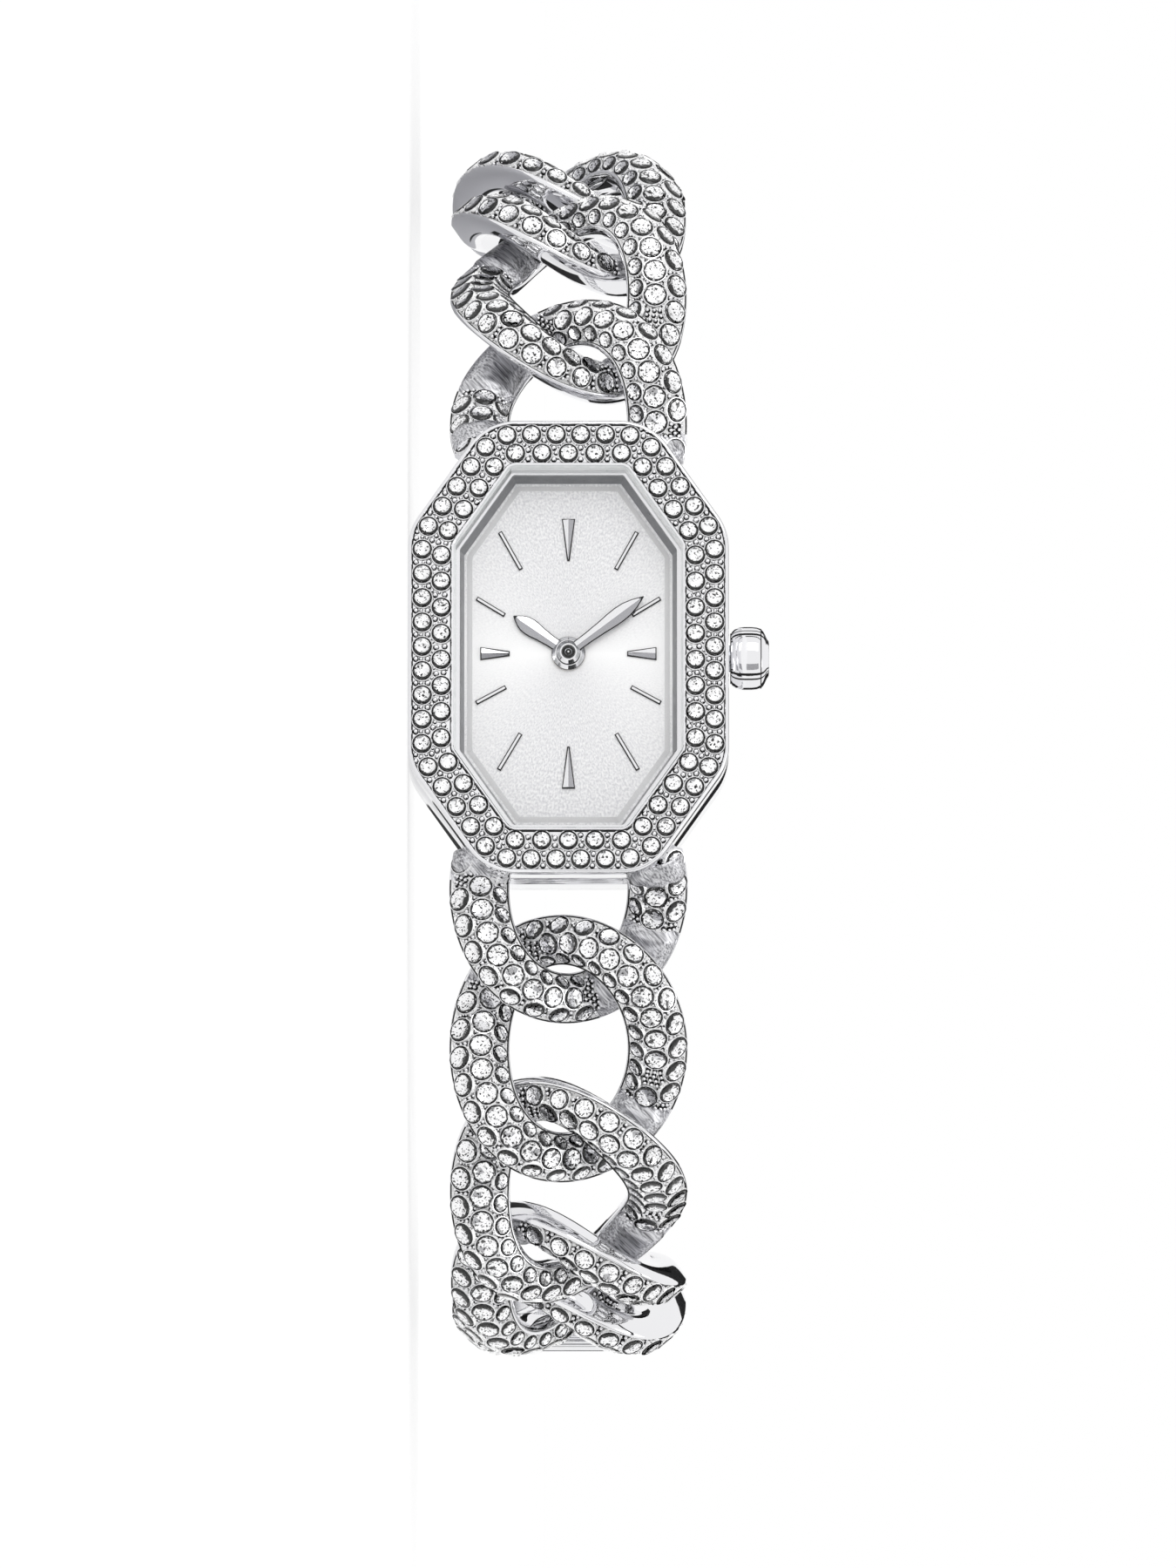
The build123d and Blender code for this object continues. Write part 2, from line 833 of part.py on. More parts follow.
def case_half_link(side):
    through = slab(octagon(0, case_corner_radius), -bezel_height, 2 * bezel_height)
    bar = half_link(lug_overlap_angle, lug_stations)
    return half_link_place(side) * bar - through


def clasp_block(end):
    """A half-link towards -Y that grows into a block with bevelled edges, up to end."""
    bar = Rot(0, 0, 180) * half_link(clasp_overlap_angle, clasp_stations)
    profile = chamfer(Rectangle(clasp_width, clasp_thickness).vertices(), clasp_corner)
    plane = Plane(origin=(0, -clasp_start, 0), x_dir=(1, 0, 0), z_dir=(0, -1, 0))
    return bar + extrude(plane * profile, amount=-clasp_start - end)


clasp_face = clasp_thickness / 2
latch_axis_height = clasp_face + latch_axis_lift
ear_height = latch_axis_lift + latch_knuckle_radius


def clasp_box():
    """The half with the box: its mouth opens towards +Y."""
    depth = box_length + clasp_start - box_wall
    width = tongue_width + 2 * tongue_clearance
    mouth = Box(width, 2 * depth, clasp_thickness - 2 * box_wall)
    return clasp_block(box_length) - Pos(0, box_length, 0) * mouth


def pin_line(radius, width):
    """A round solid along the axis of the latch's pin."""
    start = -width / 2
    plane = Plane(
        origin=(start, latch_axis_length, latch_axis_height), x_dir=(0, 1, 0), z_dir=(1, 0, 0)
    )
    return extrude(plane * Circle(radius), amount=width)


ear_middle = latch_width / 2 + latch_side_gap + latch_ear_width / 2


def clasp_tongue():
    """The half with the tongue: a folded leaf spring that points towards +Y."""
    half_height = tongue_height / 2
    tip = tongue_block_length + tongue_length
    free_end = tongue_block_length + tongue_spring_gap
    outline = Polyline(
        (0, -half_height),
        (tip, -half_height),
        (tip, -half_height + 2 * tongue_thickness),
        (free_end, half_height),
        (free_end, half_height - tongue_thickness),
        (tip - 2 * tongue_thickness, -half_height + tongue_thickness),
        (0, -half_height + tongue_thickness),
        close=True,
    )
    plane = Plane(origin=(-tongue_width / 2, 0, 0), x_dir=(0, 1, 0), z_dir=(1, 0, 0))
    body = clasp_block(tongue_block_length) + extrude(
        plane * make_face(outline), amount=tongue_width
    )
    for side in (1, -1):
        ear = Pos(side * ear_middle, latch_axis_length, clasp_face) * Box(
            latch_ear_width, 2 * latch_knuckle_radius, 2 * ear_height
        )
        body = body + ear
    return body


def latch_pin():
    """The latch turns on it, and it spans the two ears of the tongue half."""
    return pin_line(latch_pin_radius, latch_width + 2 * latch_side_gap)


def safety_latch():
    """A plate that swings over the closed clasp and hooks the box with its turned lip."""
    knuckle = pin_line(latch_knuckle_radius, latch_width)
    plate = Pos(0, latch_axis_length + latch_length / 2, latch_axis_height) * Box(
        latch_width, latch_length, latch_thickness
    )
    lip_y = latch_axis_length + latch_length - latch_lip / 2
    lip = Pos(0, lip_y, latch_axis_height) * Box(latch_width, latch_lip, latch_lip_height)
    lip = Pos(0, 0, (latch_thickness - latch_lip_height) / 2) * lip
    return knuckle + plate + lip - pin_line(latch_pin_radius + latch_pin_clearance, latch_width)


# Parts

pieces = {
    "case_middle": case_middle,
    "case_back": case_back,
    "case_back_gasket": case_back_gasket,
    "bezel": bezel,
    "bezel_crystals": bezel_crystals,
    "glass": glass,
    "glass_gasket": glass_gasket,
    "flange_ring": flange_ring,
    "dial": dial,
    "hour_markers": hour_markers,
    "hour_hand": hour_hand,
    "minute_hand": minute_hand,
    "cannon_pinion": cannon_pinion,
    "minute_wheel": minute_wheel,
    "hour_wheel": hour_wheel,
    "main_plate": main_plate,
    "train_bridge": train_bridge,
    "circuit_board": circuit_board,
    "battery": battery,
    "battery_clamp": battery_clamp,
    "coil": coil,
    "movement_holder": movement_holder,
    "crown_tube": crown_tube,
    "crown": crown,
    "crown_crystal": crown_crystal,
    "stem": stem,
    "sliding_pinion": sliding_pinion,
}
for name, make in pieces.items():
    save(name, make())

save("upper_half_link", case_half_link(1))
save("lower_half_link", case_half_link(-1))

link = full_link()
chain_ends = {}
for chain, side, slopes in (("upper", 1, upper_slopes), ("lower", -1, lower_slopes)):
    places, end = chain_places(side, slopes + [slopes[-1]])
    for number, place in enumerate(places[:-1], start=1):
        save(f"{chain}_link_{number}", place * link)
    chain_ends[chain] = places[-1]

save("clasp_box", chain_ends["upper"] * clasp_box())
tongue_place = chain_ends["lower"] * Rot(0, 0, 180)
save("clasp_tongue", tongue_place * clasp_tongue())
save("latch_pin", tongue_place * latch_pin())
save("safety_latch", tongue_place * safety_latch())
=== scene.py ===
# %% [markdown]
# # A bracelet watch set with crystals
# The watch is an octagonal quartz piece on a chain of twisted curb links. Nearly all of its outside is either
# mirror-bright steel or small foiled crystals, so this lesson is mostly about two things: setting hundreds of
# stones by rule instead of by hand, and giving bright metal something to reflect. The CAD model comes first and
# stays where it is; every piece made here takes its size and place from it.

# %% Load the frame
import json
import math

import bpy
import numpy as np
from mathutils import Matrix, Vector


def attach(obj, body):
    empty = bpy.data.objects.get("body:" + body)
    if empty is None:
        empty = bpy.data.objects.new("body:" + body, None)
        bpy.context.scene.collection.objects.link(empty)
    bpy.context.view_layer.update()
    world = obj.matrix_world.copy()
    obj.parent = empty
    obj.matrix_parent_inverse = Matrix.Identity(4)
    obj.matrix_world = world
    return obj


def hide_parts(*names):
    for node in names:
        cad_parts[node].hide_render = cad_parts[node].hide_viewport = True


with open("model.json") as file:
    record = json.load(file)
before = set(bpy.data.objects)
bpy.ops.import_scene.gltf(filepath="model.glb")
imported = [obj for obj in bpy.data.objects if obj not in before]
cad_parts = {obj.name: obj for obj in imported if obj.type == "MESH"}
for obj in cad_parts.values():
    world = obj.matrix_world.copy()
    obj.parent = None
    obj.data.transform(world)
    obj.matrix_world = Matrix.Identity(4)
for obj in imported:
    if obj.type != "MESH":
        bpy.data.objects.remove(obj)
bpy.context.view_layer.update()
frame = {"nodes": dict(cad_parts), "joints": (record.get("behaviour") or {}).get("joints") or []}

MM = 0.001

# %% [markdown]
# ## Two sets of axes
# A watchmaker thinks of a watch from the front: x to 3 o'clock, y to 12 o'clock and z out through the glass. This
# one lies on its 9 o'clock flank, so that its hinges stand upright. One matrix turns the first set of axes into
# the second. Everything below is written in the watchmaker's axes and in millimetres, until a mesh is made.

# %% From the watch's axes to the room's
WATCH_TO_ROOM = Matrix(((0, -1, 0, 0), (0, 0, -1, 0), (1, 0, 0, 0), (0, 0, 0, 1)))


def in_room(x, y, z):
    """A point of the watch, given in millimetres, as a point of the room in metres."""
    return WATCH_TO_ROOM @ Vector((x, y, z)) * MM


print("12 o'clock points to", tuple(WATCH_TO_ROOM.to_3x3() @ Vector((0, 1, 0))))

# %% [markdown]
# ## Camera
# The photograph is a long-lens picture: near and far links have almost the same scale. The camera stands about a
# metre away and ten degrees towards 6 o'clock, and the watch's 12 o'clock side is up in the picture. Its lens
# follows from the height of the field and the distance, as it does for a real camera.

# %% The camera
CAMERA_DISTANCE = 1.0
CAMERA_SWING = math.radians(10.0)
FIELD_HEIGHT = 0.0878
SENSOR = 36.0
camera_data = bpy.data.cameras.new("camera")
camera_data.sensor_fit = "VERTICAL"
camera_data.sensor_height = SENSOR
camera_data.lens = SENSOR * CAMERA_DISTANCE / FIELD_HEIGHT
camera_data.clip_start = 0.05
camera = bpy.data.objects.new("camera", camera_data)
bpy.context.scene.collection.objects.link(camera)
aim = in_room(1.1, -7.88, 7.3)
swing_sin, swing_cos = math.sin(CAMERA_SWING), math.cos(CAMERA_SWING)
towards = Vector((-swing_sin, swing_cos, 0))
picture_up = Vector((-swing_cos, -swing_sin, 0))
picture_right = towards.cross(picture_up)
turned_axes = Matrix((picture_right, picture_up, -towards)).transposed().to_4x4()
camera.matrix_world = Matrix.Translation(aim - CAMERA_DISTANCE * towards) @ turned_axes
bpy.context.scene.camera = camera
bpy.context.scene.view_settings.view_transform = "Standard"
print("lens", round(camera_data.lens), "mm")

# %% [markdown]
# ## Helpers for materials
# Colours are picked as sRGB hex values, as in a paint program, while shaders count light in linear values, so one
# function converts them. Another adds one node with its settings and links; there is no function per node kind.

# %% Colours and nodes


def linear(hex_colour):
    """An sRGB hex colour as linear red, green, blue and alpha."""
    channels = [int(hex_colour[i : i + 2], 16) / 255 for i in (1, 3, 5)]
    return [c / 12.92 if c <= 0.04045 else ((c + 0.055) / 1.055) ** 2.4 for c in channels] + [1.0]


def new_material(name):
    """A material with its node tree, its surface shader and nothing else."""
    material = bpy.data.materials.new(name)
    material.use_nodes = True
    return material, material.node_tree, material.node_tree.nodes["Principled BSDF"]


def add_node(tree, kind, settings=None, **inputs):
    """One node: settings are its own properties, inputs are values or sockets to link, i0 being the first."""
    node = tree.nodes.new(kind)
    for key, value in (settings or {}).items():
        setattr(node, key, value)
    for key, value in inputs.items():
        socket = node.inputs[int(key[1:])] if key[0] == "i" and key[1:].isdigit() else node.inputs[key]
        if isinstance(value, bpy.types.NodeSocket):
            tree.links.new(value, socket)
        else:
            socket.default_value = value
    return node


def set_surface(shader, **values):
    """Set the shader's own sockets; an underscore stands for a space."""
    for key, value in values.items():
        shader.inputs[key.replace("_", " ")].default_value = value


def two_tone(tree, shader, share, dark, pale):
    """Colour a shader from dark to pale by a socket that runs from 0 to 1."""
    tint = add_node(tree, "ShaderNodeMix", {"data_type": "RGBA"}, i0=share, i6=linear(dark), i7=linear(pale))
    tree.links.new(tint.outputs[2], shader.inputs["Base Color"])


print("middle grey is", round(linear("#808080")[0], 3), "in linear light")

# %% [markdown]
# ## One recipe for textured surfaces
# On most real surfaces colour, gloss and height vary together: a scratch is darker, duller and deeper than what
# lies beside it. So one noise drives all three. For brushed metal the noise is first turned to the brushing
# direction and then squeezed along it, which draws each grain out into a line.

# %% A textured material
SCRATCH_STRETCH = 0.025


def textured(name, colours, roughness, grain, bump, metallic=1.0, turn=None, detail=3.0, tint_range=None):
    """One noise of a grain size for all: roughness is its least and most, bump its strength and height.

    Colours are one hex value, or a dark and a pale one that mix over a range of the noise.
    """
    material, tree, shader = new_material(name)
    set_surface(shader, Metallic=metallic)
    where = add_node(tree, "ShaderNodeTexCoord").outputs["Object"]
    if turn is not None:
        turned_grain = add_node(
            tree, "ShaderNodeVectorRotate", {"rotation_type": "Z_AXIS"}, Vector=where, Angle=turn
        )
        stretch = (SCRATCH_STRETCH, 1.0, 1.0)
        where = add_node(
            tree, "ShaderNodeVectorMath", {"operation": "MULTIPLY"}, i0=turned_grain.outputs[0], i1=stretch
        ).outputs[0]
    noise = add_node(tree, "ShaderNodeTexNoise", Vector=where, Scale=1 / grain, Detail=detail).outputs["Fac"]
    strength, height = bump
    relief = add_node(tree, "ShaderNodeBump", Height=noise, Strength=strength, Distance=height)
    tree.links.new(relief.outputs["Normal"], shader.inputs["Normal"])
    gloss = add_node(tree, "ShaderNodeMapRange", Value=noise, i3=roughness[0], i4=roughness[1])
    tree.links.new(gloss.outputs["Result"], shader.inputs["Roughness"])
    if len(colours) == 1:
        set_surface(shader, Base_Color=linear(colours[0]))
    else:
        share = add_node(tree, "ShaderNodeMapRange", Value=noise, i1=tint_range[0], i2=tint_range[1])
        two_tone(tree, shader, share.outputs["Result"], *colours)
    return material


print("scratches are", 1 / SCRATCH_STRETCH, "times as long as they are wide")

# %% [markdown]
# ## Metals
# Stainless steel 316L is what cases and links are made of. Polished, it is a mirror of light neutral grey, and
# what the eye reads as polish is the sharp edge between a bright and a dark reflection. A very faint waviness,
# about a millimetre long, is what the polishing wheel leaves, and it keeps those edges from looking drawn with a
# ruler. The other metals differ from it in colour, gloss and wave height, so they share its recipe.

# %% Polished and plated metals
BUFFING_WAVE = 0.9 * MM


def polished(name, colour, roughness, wave_height):
    """A polished metal with the slow waviness of a buffing wheel."""
    gloss = (roughness * 0.7, roughness * 1.3)
    return textured(name, [colour], gloss, BUFFING_WAVE, (0.25, wave_height), detail=2.0)


# Wheel-polished steel gives a light, neutral mirror.
steel = polished("polished_stainless_steel", "#EDEDEF", 0.05, 0.004 * MM)
# Steel left as cast between the stones is too rough to mirror anything and spreads the light evenly.
setting_steel = polished("cast_steel_between_stones", "#F4F4F6", 0.34, 0.03 * MM)
# Rhodium plate on milled brass is crisp and nearly without waves.
rhodium = polished("rhodium_plate", "#F0F0F2", 0.08, 0.001 * MM)
# Painted shade: the same plate a step darker, for facets that lie away from the light, so that a hand looks
# folded.
shaded_rhodium = polished("rhodium_in_painted_shade", "#B2B2B6", 0.12, 0.001 * MM)
# Hardened and ground steel of stem and pinions is darker, with a satin gloss.
hard_steel = polished("hardened_steel", "#A9ABB0", 0.25, 0.01 * MM)
# Gilt brass of plate and wheels is a warm yellow with a soft sheen.
gilt_brass = polished("gilt_brass", "#D9B25A", 0.28, 0.01 * MM)
# Nickel plate of bridge and battery is a cool grey, half way to a mirror.
nickel = polished("nickel_plate", "#C9CBCD", 0.18, 0.01 * MM)
# The coil's copper wire is red metal under a thin clear enamel.
copper = polished("enamelled_copper", "#B5653A", 0.32, 0.01 * MM)
print("metals", [material.name for material in (steel, rhodium, hard_steel, gilt_brass, nickel, copper)])

# %% [markdown]
# Brushed steel carries parallel scratches a few hundredths of a millimetre apart. Scratches that fine vanish in
# the picture, so they are drawn 0.09 mm apart and forty times as long. The eye gets a streaky grey with soft
# highlights. On the links the scratches run slantwise across the wire, as an abrasive belt leaves them, and on the
# case back, which is paler, they run from 12 to 6 o'clock.

# %% Brushed steel
SCRATCH_SPACING = 0.09 * MM
BELT_TURN = math.radians(50)


def brushed(name, dark, pale, turn):
    """Steel with parallel scratches, which run along x before they are turned about z."""
    gloss, relief = (0.21, 0.42), (0.5, 0.02 * MM)
    return textured(name, (dark, pale), gloss, SCRATCH_SPACING, relief, turn=turn, tint_range=(0.35, 0.6))


brushed_steel = brushed("brushed_stainless_steel", "#7C7C80", "#E0E0E3", BELT_TURN)
case_back_steel = brushed("brushed_case_back_steel", "#B4B4B8", "#DCDCDF", 0.0)
print("brushed", brushed_steel.name, case_back_steel.name)

# %% [markdown]
# Painted and moulded surfaces have a soft gloss and a fine skin, and their colour wanders a little, so the same
# recipe serves with smaller differences. It serves too for the near-black painted shade that gives the watch its
# drawing, in the setter's cut lines and along the bevels of markers and hands.

# %% Lacquer, rubber, plastic and painted shade


def moulded(name, dark, pale, roughness, grain, metallic=0.0):
    """A painted or moulded surface, or near-black painted shade, with a fine skin."""
    gloss, relief = (roughness * 0.8, roughness * 1.2), (0.3, 0.01 * MM)
    return textured(name, (dark, pale), gloss, grain, relief, metallic, tint_range=(0.35, 0.65))


# Painted shade for cut lines and recesses, nearly black and dead matt.
groove = moulded("painted_shade_in_grooves", "#030304", "#08080A", 0.6, 0.1 * MM)
# Painted shade for bevels, a little smoother.
dark_bevel = moulded("painted_shade_on_bevels", "#040405", "#09090A", 0.5, 0.1 * MM)
# The sprayed metallic lacquer of the flange ring is an even mid grey with a satin sheen.
flange_lacquer = moulded("grey_lacquer", "#828386", "#8C8D90", 0.30, 0.4 * MM, metallic=0.8)
# The nitrile rubber of the case-back gasket is black and matt.
nitrile = moulded("nitrile_rubber", "#101010", "#1A1A1B", 0.6, 0.2 * MM)
# The moulded nylon of the glass gasket shows as a thin, pale and fairly glossy line.
clear_nylon = moulded("clear_nylon", "#DFE2E2", "#EAEBEB", 0.3, 0.5 * MM)
# The moulded acetal of the movement's holder is ivory with a waxy gloss.
acetal = moulded("moulded_acetal", "#DEDDD6", "#E8E7E2", 0.45, 0.5 * MM)
# The glass-fibre laminate of the circuit board is green from its solder resist.
circuit_laminate = moulded("circuit_laminate", "#1A4730", "#245538", 0.35, 0.2 * MM)
print("materials so far", len(bpy.data.materials))

# %% [markdown]
# ## Crystals
# A flat-backed crystal is cut glass with a silvered back. Light goes in through the crown, bounces between the
# mirrored facets below and comes out somewhere else, so each stone is white with a few dark ticks. It is made as
# the real one is, a clear crown over a mirror pavilion, closed along the girdle. A tick is a facet that happens to
# mirror something dark. Most are far below a tenth of a millimetre, so they are drawn 0.12 mm long.

# %% Crystal, foil and the metal between stones
TICK_SIZE = 0.12 * MM
TICK_EDGE = 0.02


def tick_marks(tree, shader, level, dark, pale):
    """Colour a shader pale, with short dark ticks as painted reflections where a noise falls below a level."""
    where = add_node(tree, "ShaderNodeTexCoord").outputs["Object"]
    noise = add_node(
        tree, "ShaderNodeTexNoise", Vector=where, Scale=1 / TICK_SIZE, Detail=1.0, Distortion=0.6
    ).outputs["Fac"]
    share = add_node(tree, "ShaderNodeMapRange", Value=noise, i1=level - TICK_EDGE, i2=level + TICK_EDGE)
    two_tone(tree, shader, share.outputs["Result"], dark, pale)


# Ground and polished lead glass is perfectly clear, and bends light more than window glass does.
crystal, _, shader = new_material("lead_crystal")
set_surface(shader, Base_Color=linear("#FFFFFF"), Roughness=0.0, IOR=1.56, Transmission_Weight=1.0)
# The silver foil on the pavilion is white, with dark ticks painted in as painted reflections.
ticked_foil, tree, shader = new_material("silver_foil_with_painted_reflections")
set_surface(shader, Metallic=1.0, Roughness=0.05)
tick_marks(tree, shader, 0.40, "#060607", "#FEFEFF")
# The metal between stones is cut into steps too small to model, painted as dark ticks on a pale ground: painted
# reflections.
tree = setting_steel.node_tree
shader = tree.nodes["Principled BSDF"]
set_surface(shader, Metallic=0.3)
tick_marks(tree, shader, 0.36, "#101012", "#FFFFFF")
STONE_FINISHES = [steel, setting_steel, brushed_steel, crystal, ticked_foil, groove]
STEEL, SETTING, BRUSHED, CRYSTAL, TICKED, GROOVE = range(len(STONE_FINISHES))
print("finishes of a jewelled piece", len(STONE_FINISHES))

# %% [markdown]
# ## A place to collect facets
# A jewelled surface is thousands of small facets of different finishes. Joining hundreds of Blender objects is
# slow, so a plain Python class collects points and faces first, and makes one mesh from them at the end. The mesh
# is in metres, so that one size of texture is right on every piece.

# %% The facet collector


class Facets:
    """Points and faces of one piece, with a finish and a shading for each face."""

    def __init__(self):
        self.points = []
        self.faces = []
        self.finishes = []
        self.smooth = []
        self.count = 0
        self.last = 0

    def add(self, points, faces, finish, smooth=False):
        """New points, and faces that count from the first of them."""
        self.points.append(np.asarray(points, float).reshape(-1, 3))
        self.last = self.count
        self.count += len(self.points[-1])
        self.more(faces, finish, smooth)

    def more(self, faces, finish, smooth=False):
        """More faces on the points that were added last."""
        self.faces += [tuple(i + self.last for i in face) for face in faces]
        self.finishes += [finish] * len(faces)
        self.smooth += [smooth] * len(faces)

    def mesh(self, name, finishes):
        """One mesh in metres, with a material slot for each finish."""
        mesh = bpy.data.meshes.new(name)
        mesh.from_pydata((np.concatenate(self.points) * MM).tolist(), [], self.faces)
        for finish in finishes:
            mesh.materials.append(finish)
        mesh.polygons.foreach_set("material_index", self.finishes)
        mesh.polygons.foreach_set("use_smooth", self.smooth)
        mesh.update()
        return mesh


def strips(count, rings):
    """Quads between closed rings of equal point counts."""
    faces = []
    for ring in range(rings - 1):
        for i in range(count):
            j = (i + 1) % count
            a, b = ring * count, (ring + 1) * count
            faces.append((a + i, a + j, b + j, b + i))
    return faces


def flipped(faces):
    """The same faces, looking the other way."""
    return [face[::-1] for face in faces]


def place_piece(name, mesh, body, place, slot, *nodes):
    """Put a mesh in the room, let it ride on its body and stand for its CAD nodes."""
    piece = bpy.data.objects.new(name, mesh)
    bpy.context.scene.collection.objects.link(piece)
    piece.matrix_world = place
    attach(piece, body)
    if nodes:
        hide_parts(*nodes)


print("a tube of 16 sides and 3 rings has", len(strips(16, 3)), "faces")

# %% [markdown]
# ## One stone and its seat
# The stone's outline has sixteen sides. Its crown has an eight-sided table with kite and girdle facets round it,
# and its pavilion has eight main facets that meet in a point. The crown is kept low, because a high one shows its
# neighbours instead of the light. Round the stone lies the dark line that the eye sees: a narrow groove inside a
# low bright collar, its floor and wall painted near black as painted shade.

# %% Stone and seat
STONE_SIDES = 16
TABLE_SHARE = 0.86
CROWN_SHARE = 0.045
PAVILION_SHARE = 0.06
BELLY_AT = (0.5, 0.6)
SEAT_UNDERCUT = 0.94
GROOVE_WIDTH = 0.06
GROOVE_DEPTH = 0.05
COLLAR_WIDTH = 0.04


def circle(radius, height, sides):
    """Points of a level ring."""
    turns = np.arange(sides) * math.tau / sides
    return np.stack([radius * np.cos(turns), radius * np.sin(turns), np.full(sides, height)], -1)


def stone_parts(diameter):
    """Points, crown faces and pavilion faces, with the girdle at height zero."""
    radius = diameter / 2
    half = STONE_SIDES // 2
    depth = diameter * PAVILION_SHARE
    table = circle(radius * TABLE_SHARE, diameter * CROWN_SHARE, half)
    girdle = circle(radius, 0, STONE_SIDES)
    belly = circle(radius * BELLY_AT[0], -depth * BELLY_AT[1], half)
    points = np.concatenate([table, girdle, belly, [[0, 0, -depth]]])
    crown, pavilion = [tuple(range(half))], []
    first_belly = half + STONE_SIDES
    culet = first_belly + half
    for k in range(half):
        next_k = (k + 1) % half
        near, middle, far = (half + (2 * k + i) % STONE_SIDES for i in range(3))
        crown += [(k, near, middle), (k, middle, next_k), (next_k, middle, far)]
        here, there = first_belly + k, first_belly + next_k
        pavilion += [(near, here, middle), (middle, there, far), (here, there, middle), (here, culet, there)]
    return points, crown, pavilion


def seat_parts(diameter, depth):
    """Rings of the seat from inside out, with the finish of each strip."""
    radius = diameter / 2
    edge = radius + GROOVE_WIDTH
    profile = [
        (radius * SEAT_UNDERCUT, -GROOVE_DEPTH),
        (edge, -GROOVE_DEPTH),
        (edge, 0.0),
        (edge + COLLAR_WIDTH, 0.0),
        (edge + 2 * COLLAR_WIDTH, -depth),
    ]
    rings = [circle(r, z, STONE_SIDES) for r, z in profile]
    # Painted shade: the groove's floor and wall are near black.
    return rings, [GROOVE, GROOVE, STEEL, SETTING]


def set_stone(facets, place, diameter, depth):
    """One stone in its seat: place is a 3 by 4 array whose last column is the girdle's centre."""
    turn, origin = place[:, :3], place[:, 3]
    points, crown, pavilion = stone_parts(diameter)
    facets.add(points @ turn.T + origin, crown, CRYSTAL)
    facets.more(pavilion, TICKED)
    rings, finishes = seat_parts(diameter, depth)
    for inner, outer, finish in zip(rings, rings[1:], finishes):
        ring = np.concatenate([inner, outer]) @ turn.T + origin
        facets.add(ring, flipped(strips(STONE_SIDES, 2)), finish, smooth=finish != STEEL)


print("a stone has", sum(len(part) for part in stone_parts(1.0)[1:]), "facets")

# %% [markdown]
# A grain is the little peg of metal that a setter raises with a graver and pushes over the stones' edges. It is a
# small dome on a dark foot, because the graver's cut round it is in shadow.

# %% Grain
GRAIN_SIDES = 8
GRAIN_PROFILE = ((0.72, -0.3), (0.55, 0.2), (0.2, 0.4))


def set_grain(facets, place, radius, depth):
    """One grain of metal, from the ground up to a dome."""
    turn, origin = place[:, :3], place[:, 3]
    profile = [(radius, -depth)] + [(radius * out, radius * up) for out, up in GRAIN_PROFILE]
    rings = [circle(r, z, GRAIN_SIDES) for r, z in profile]
    top = (len(profile) - 1) * GRAIN_SIDES
    faces = strips(GRAIN_SIDES, len(profile))
    dome_faces = faces[GRAIN_SIDES:] + [tuple(top + i for i in range(GRAIN_SIDES))]
    facets.add(np.concatenate(rings) @ turn.T + origin, dome_faces, STEEL, smooth=True)
    # The foot is painted shade, near black.
    facets.more(faces[:GRAIN_SIDES], GROOVE, smooth=True)


print("a grain has", GRAIN_SIDES * len(GRAIN_PROFILE) + 1, "faces")

# %% [markdown]
# ## The curb link's wire
# A curb link is an oval ring of thick wire, twisted so that it lies flat in the chain: the sine of twice the angle
# lifts one pair of quarters and lowers the other. The wire is domed in front and flatter behind. The same rule
# as in the CAD model gives each section's centre and its outward and front directions, with more sections.

# %% The wire's shape
HALF_WIDTH = 5.0
HALF_LENGTH = 6.15
TWIST = 1.72
ARM_WIDTH = 3.4
END_BAR_WIDTH = 2.85
FRONT_HEIGHT = 1.3
BACK_HEIGHT = 1.12
DOME_POWER = 0.85


def unit(vectors):
    """Vectors of length one."""
    return vectors / np.linalg.norm(vectors, axis=-1, keepdims=True)


def wire_axes(angles):
    """Centre, outward direction, front direction and width of the wire at each angle."""
    cos, sin = np.cos(angles), np.sin(angles)
    centre = np.stack([HALF_WIDTH * cos, HALF_LENGTH * sin, TWIST * np.sin(2 * angles)], -1)
    along = unit(np.stack([-HALF_WIDTH * sin, HALF_LENGTH * cos, 2 * TWIST * np.cos(2 * angles)], -1))
    front = unit(np.array([0, 0, 1.0]) - along * along[..., 2:3])
    outward = np.cross(along, front)
    width = END_BAR_WIDTH + (ARM_WIDTH - END_BAR_WIDTH) * cos**2
    return centre, outward, front, width


def wire_points(angles, across, up, sink=0.0):
    """Points of the wire's skin: across and up are shares of its half width and height."""
    centre, outward, front, width = wire_axes(angles)
    height = np.where(up > 0, FRONT_HEIGHT, BACK_HEIGHT)
    sideways = (across * (width / 2 - sink))[..., None]
    frontways = (up * (height - sink))[..., None]
    return centre + outward * sideways + front * frontways


def dome(turn):
    """Shares across and up of the front's dome, from 0 outside over a right angle to the inside."""
    cos, sin = np.cos(turn), np.sin(turn)
    return np.sign(cos) * np.abs(cos) ** DOME_POWER, np.abs(sin) ** DOME_POWER


ring_of_centres = wire_axes(np.linspace(0, math.tau, 200))[0]
wire_length = np.linalg.norm(np.diff(ring_of_centres, axis=0), axis=1).sum()
print("length of a link's wire", round(wire_length, 1), "mm")

# %% [markdown]
# ## The ground below the stones
# Where stones sit, the wire's skin is sunk by 0.4 mm, with a polished rim left standing at both edges and a line
# of painted shade, near black, along the rim's foot. The skin returns to full height where a link dives below its
# neighbour, because no setter puts stones where they would rub. That stretch is brushed, as the photograph shows.
# A section is a row of points round the wire. It starts at the outer rim, and from FIRST_SUNK on its points are
# sunk.

# %% The wire's section
PAVE_DEPTH = 0.40
RIM_OUTER = math.radians(12)
RIM_INNER = math.radians(163)
FRONT_POINTS = 17
FIRST_SUNK = 3
LINE_SHARE = 0.22
BACK_CORNERS = ((-1.0, 0.0), (-0.5, -1.0), (0.5, -1.0), (1.0, 0.0))
BACK_ROUNDING = 0.45
BACK_POINTS = 5


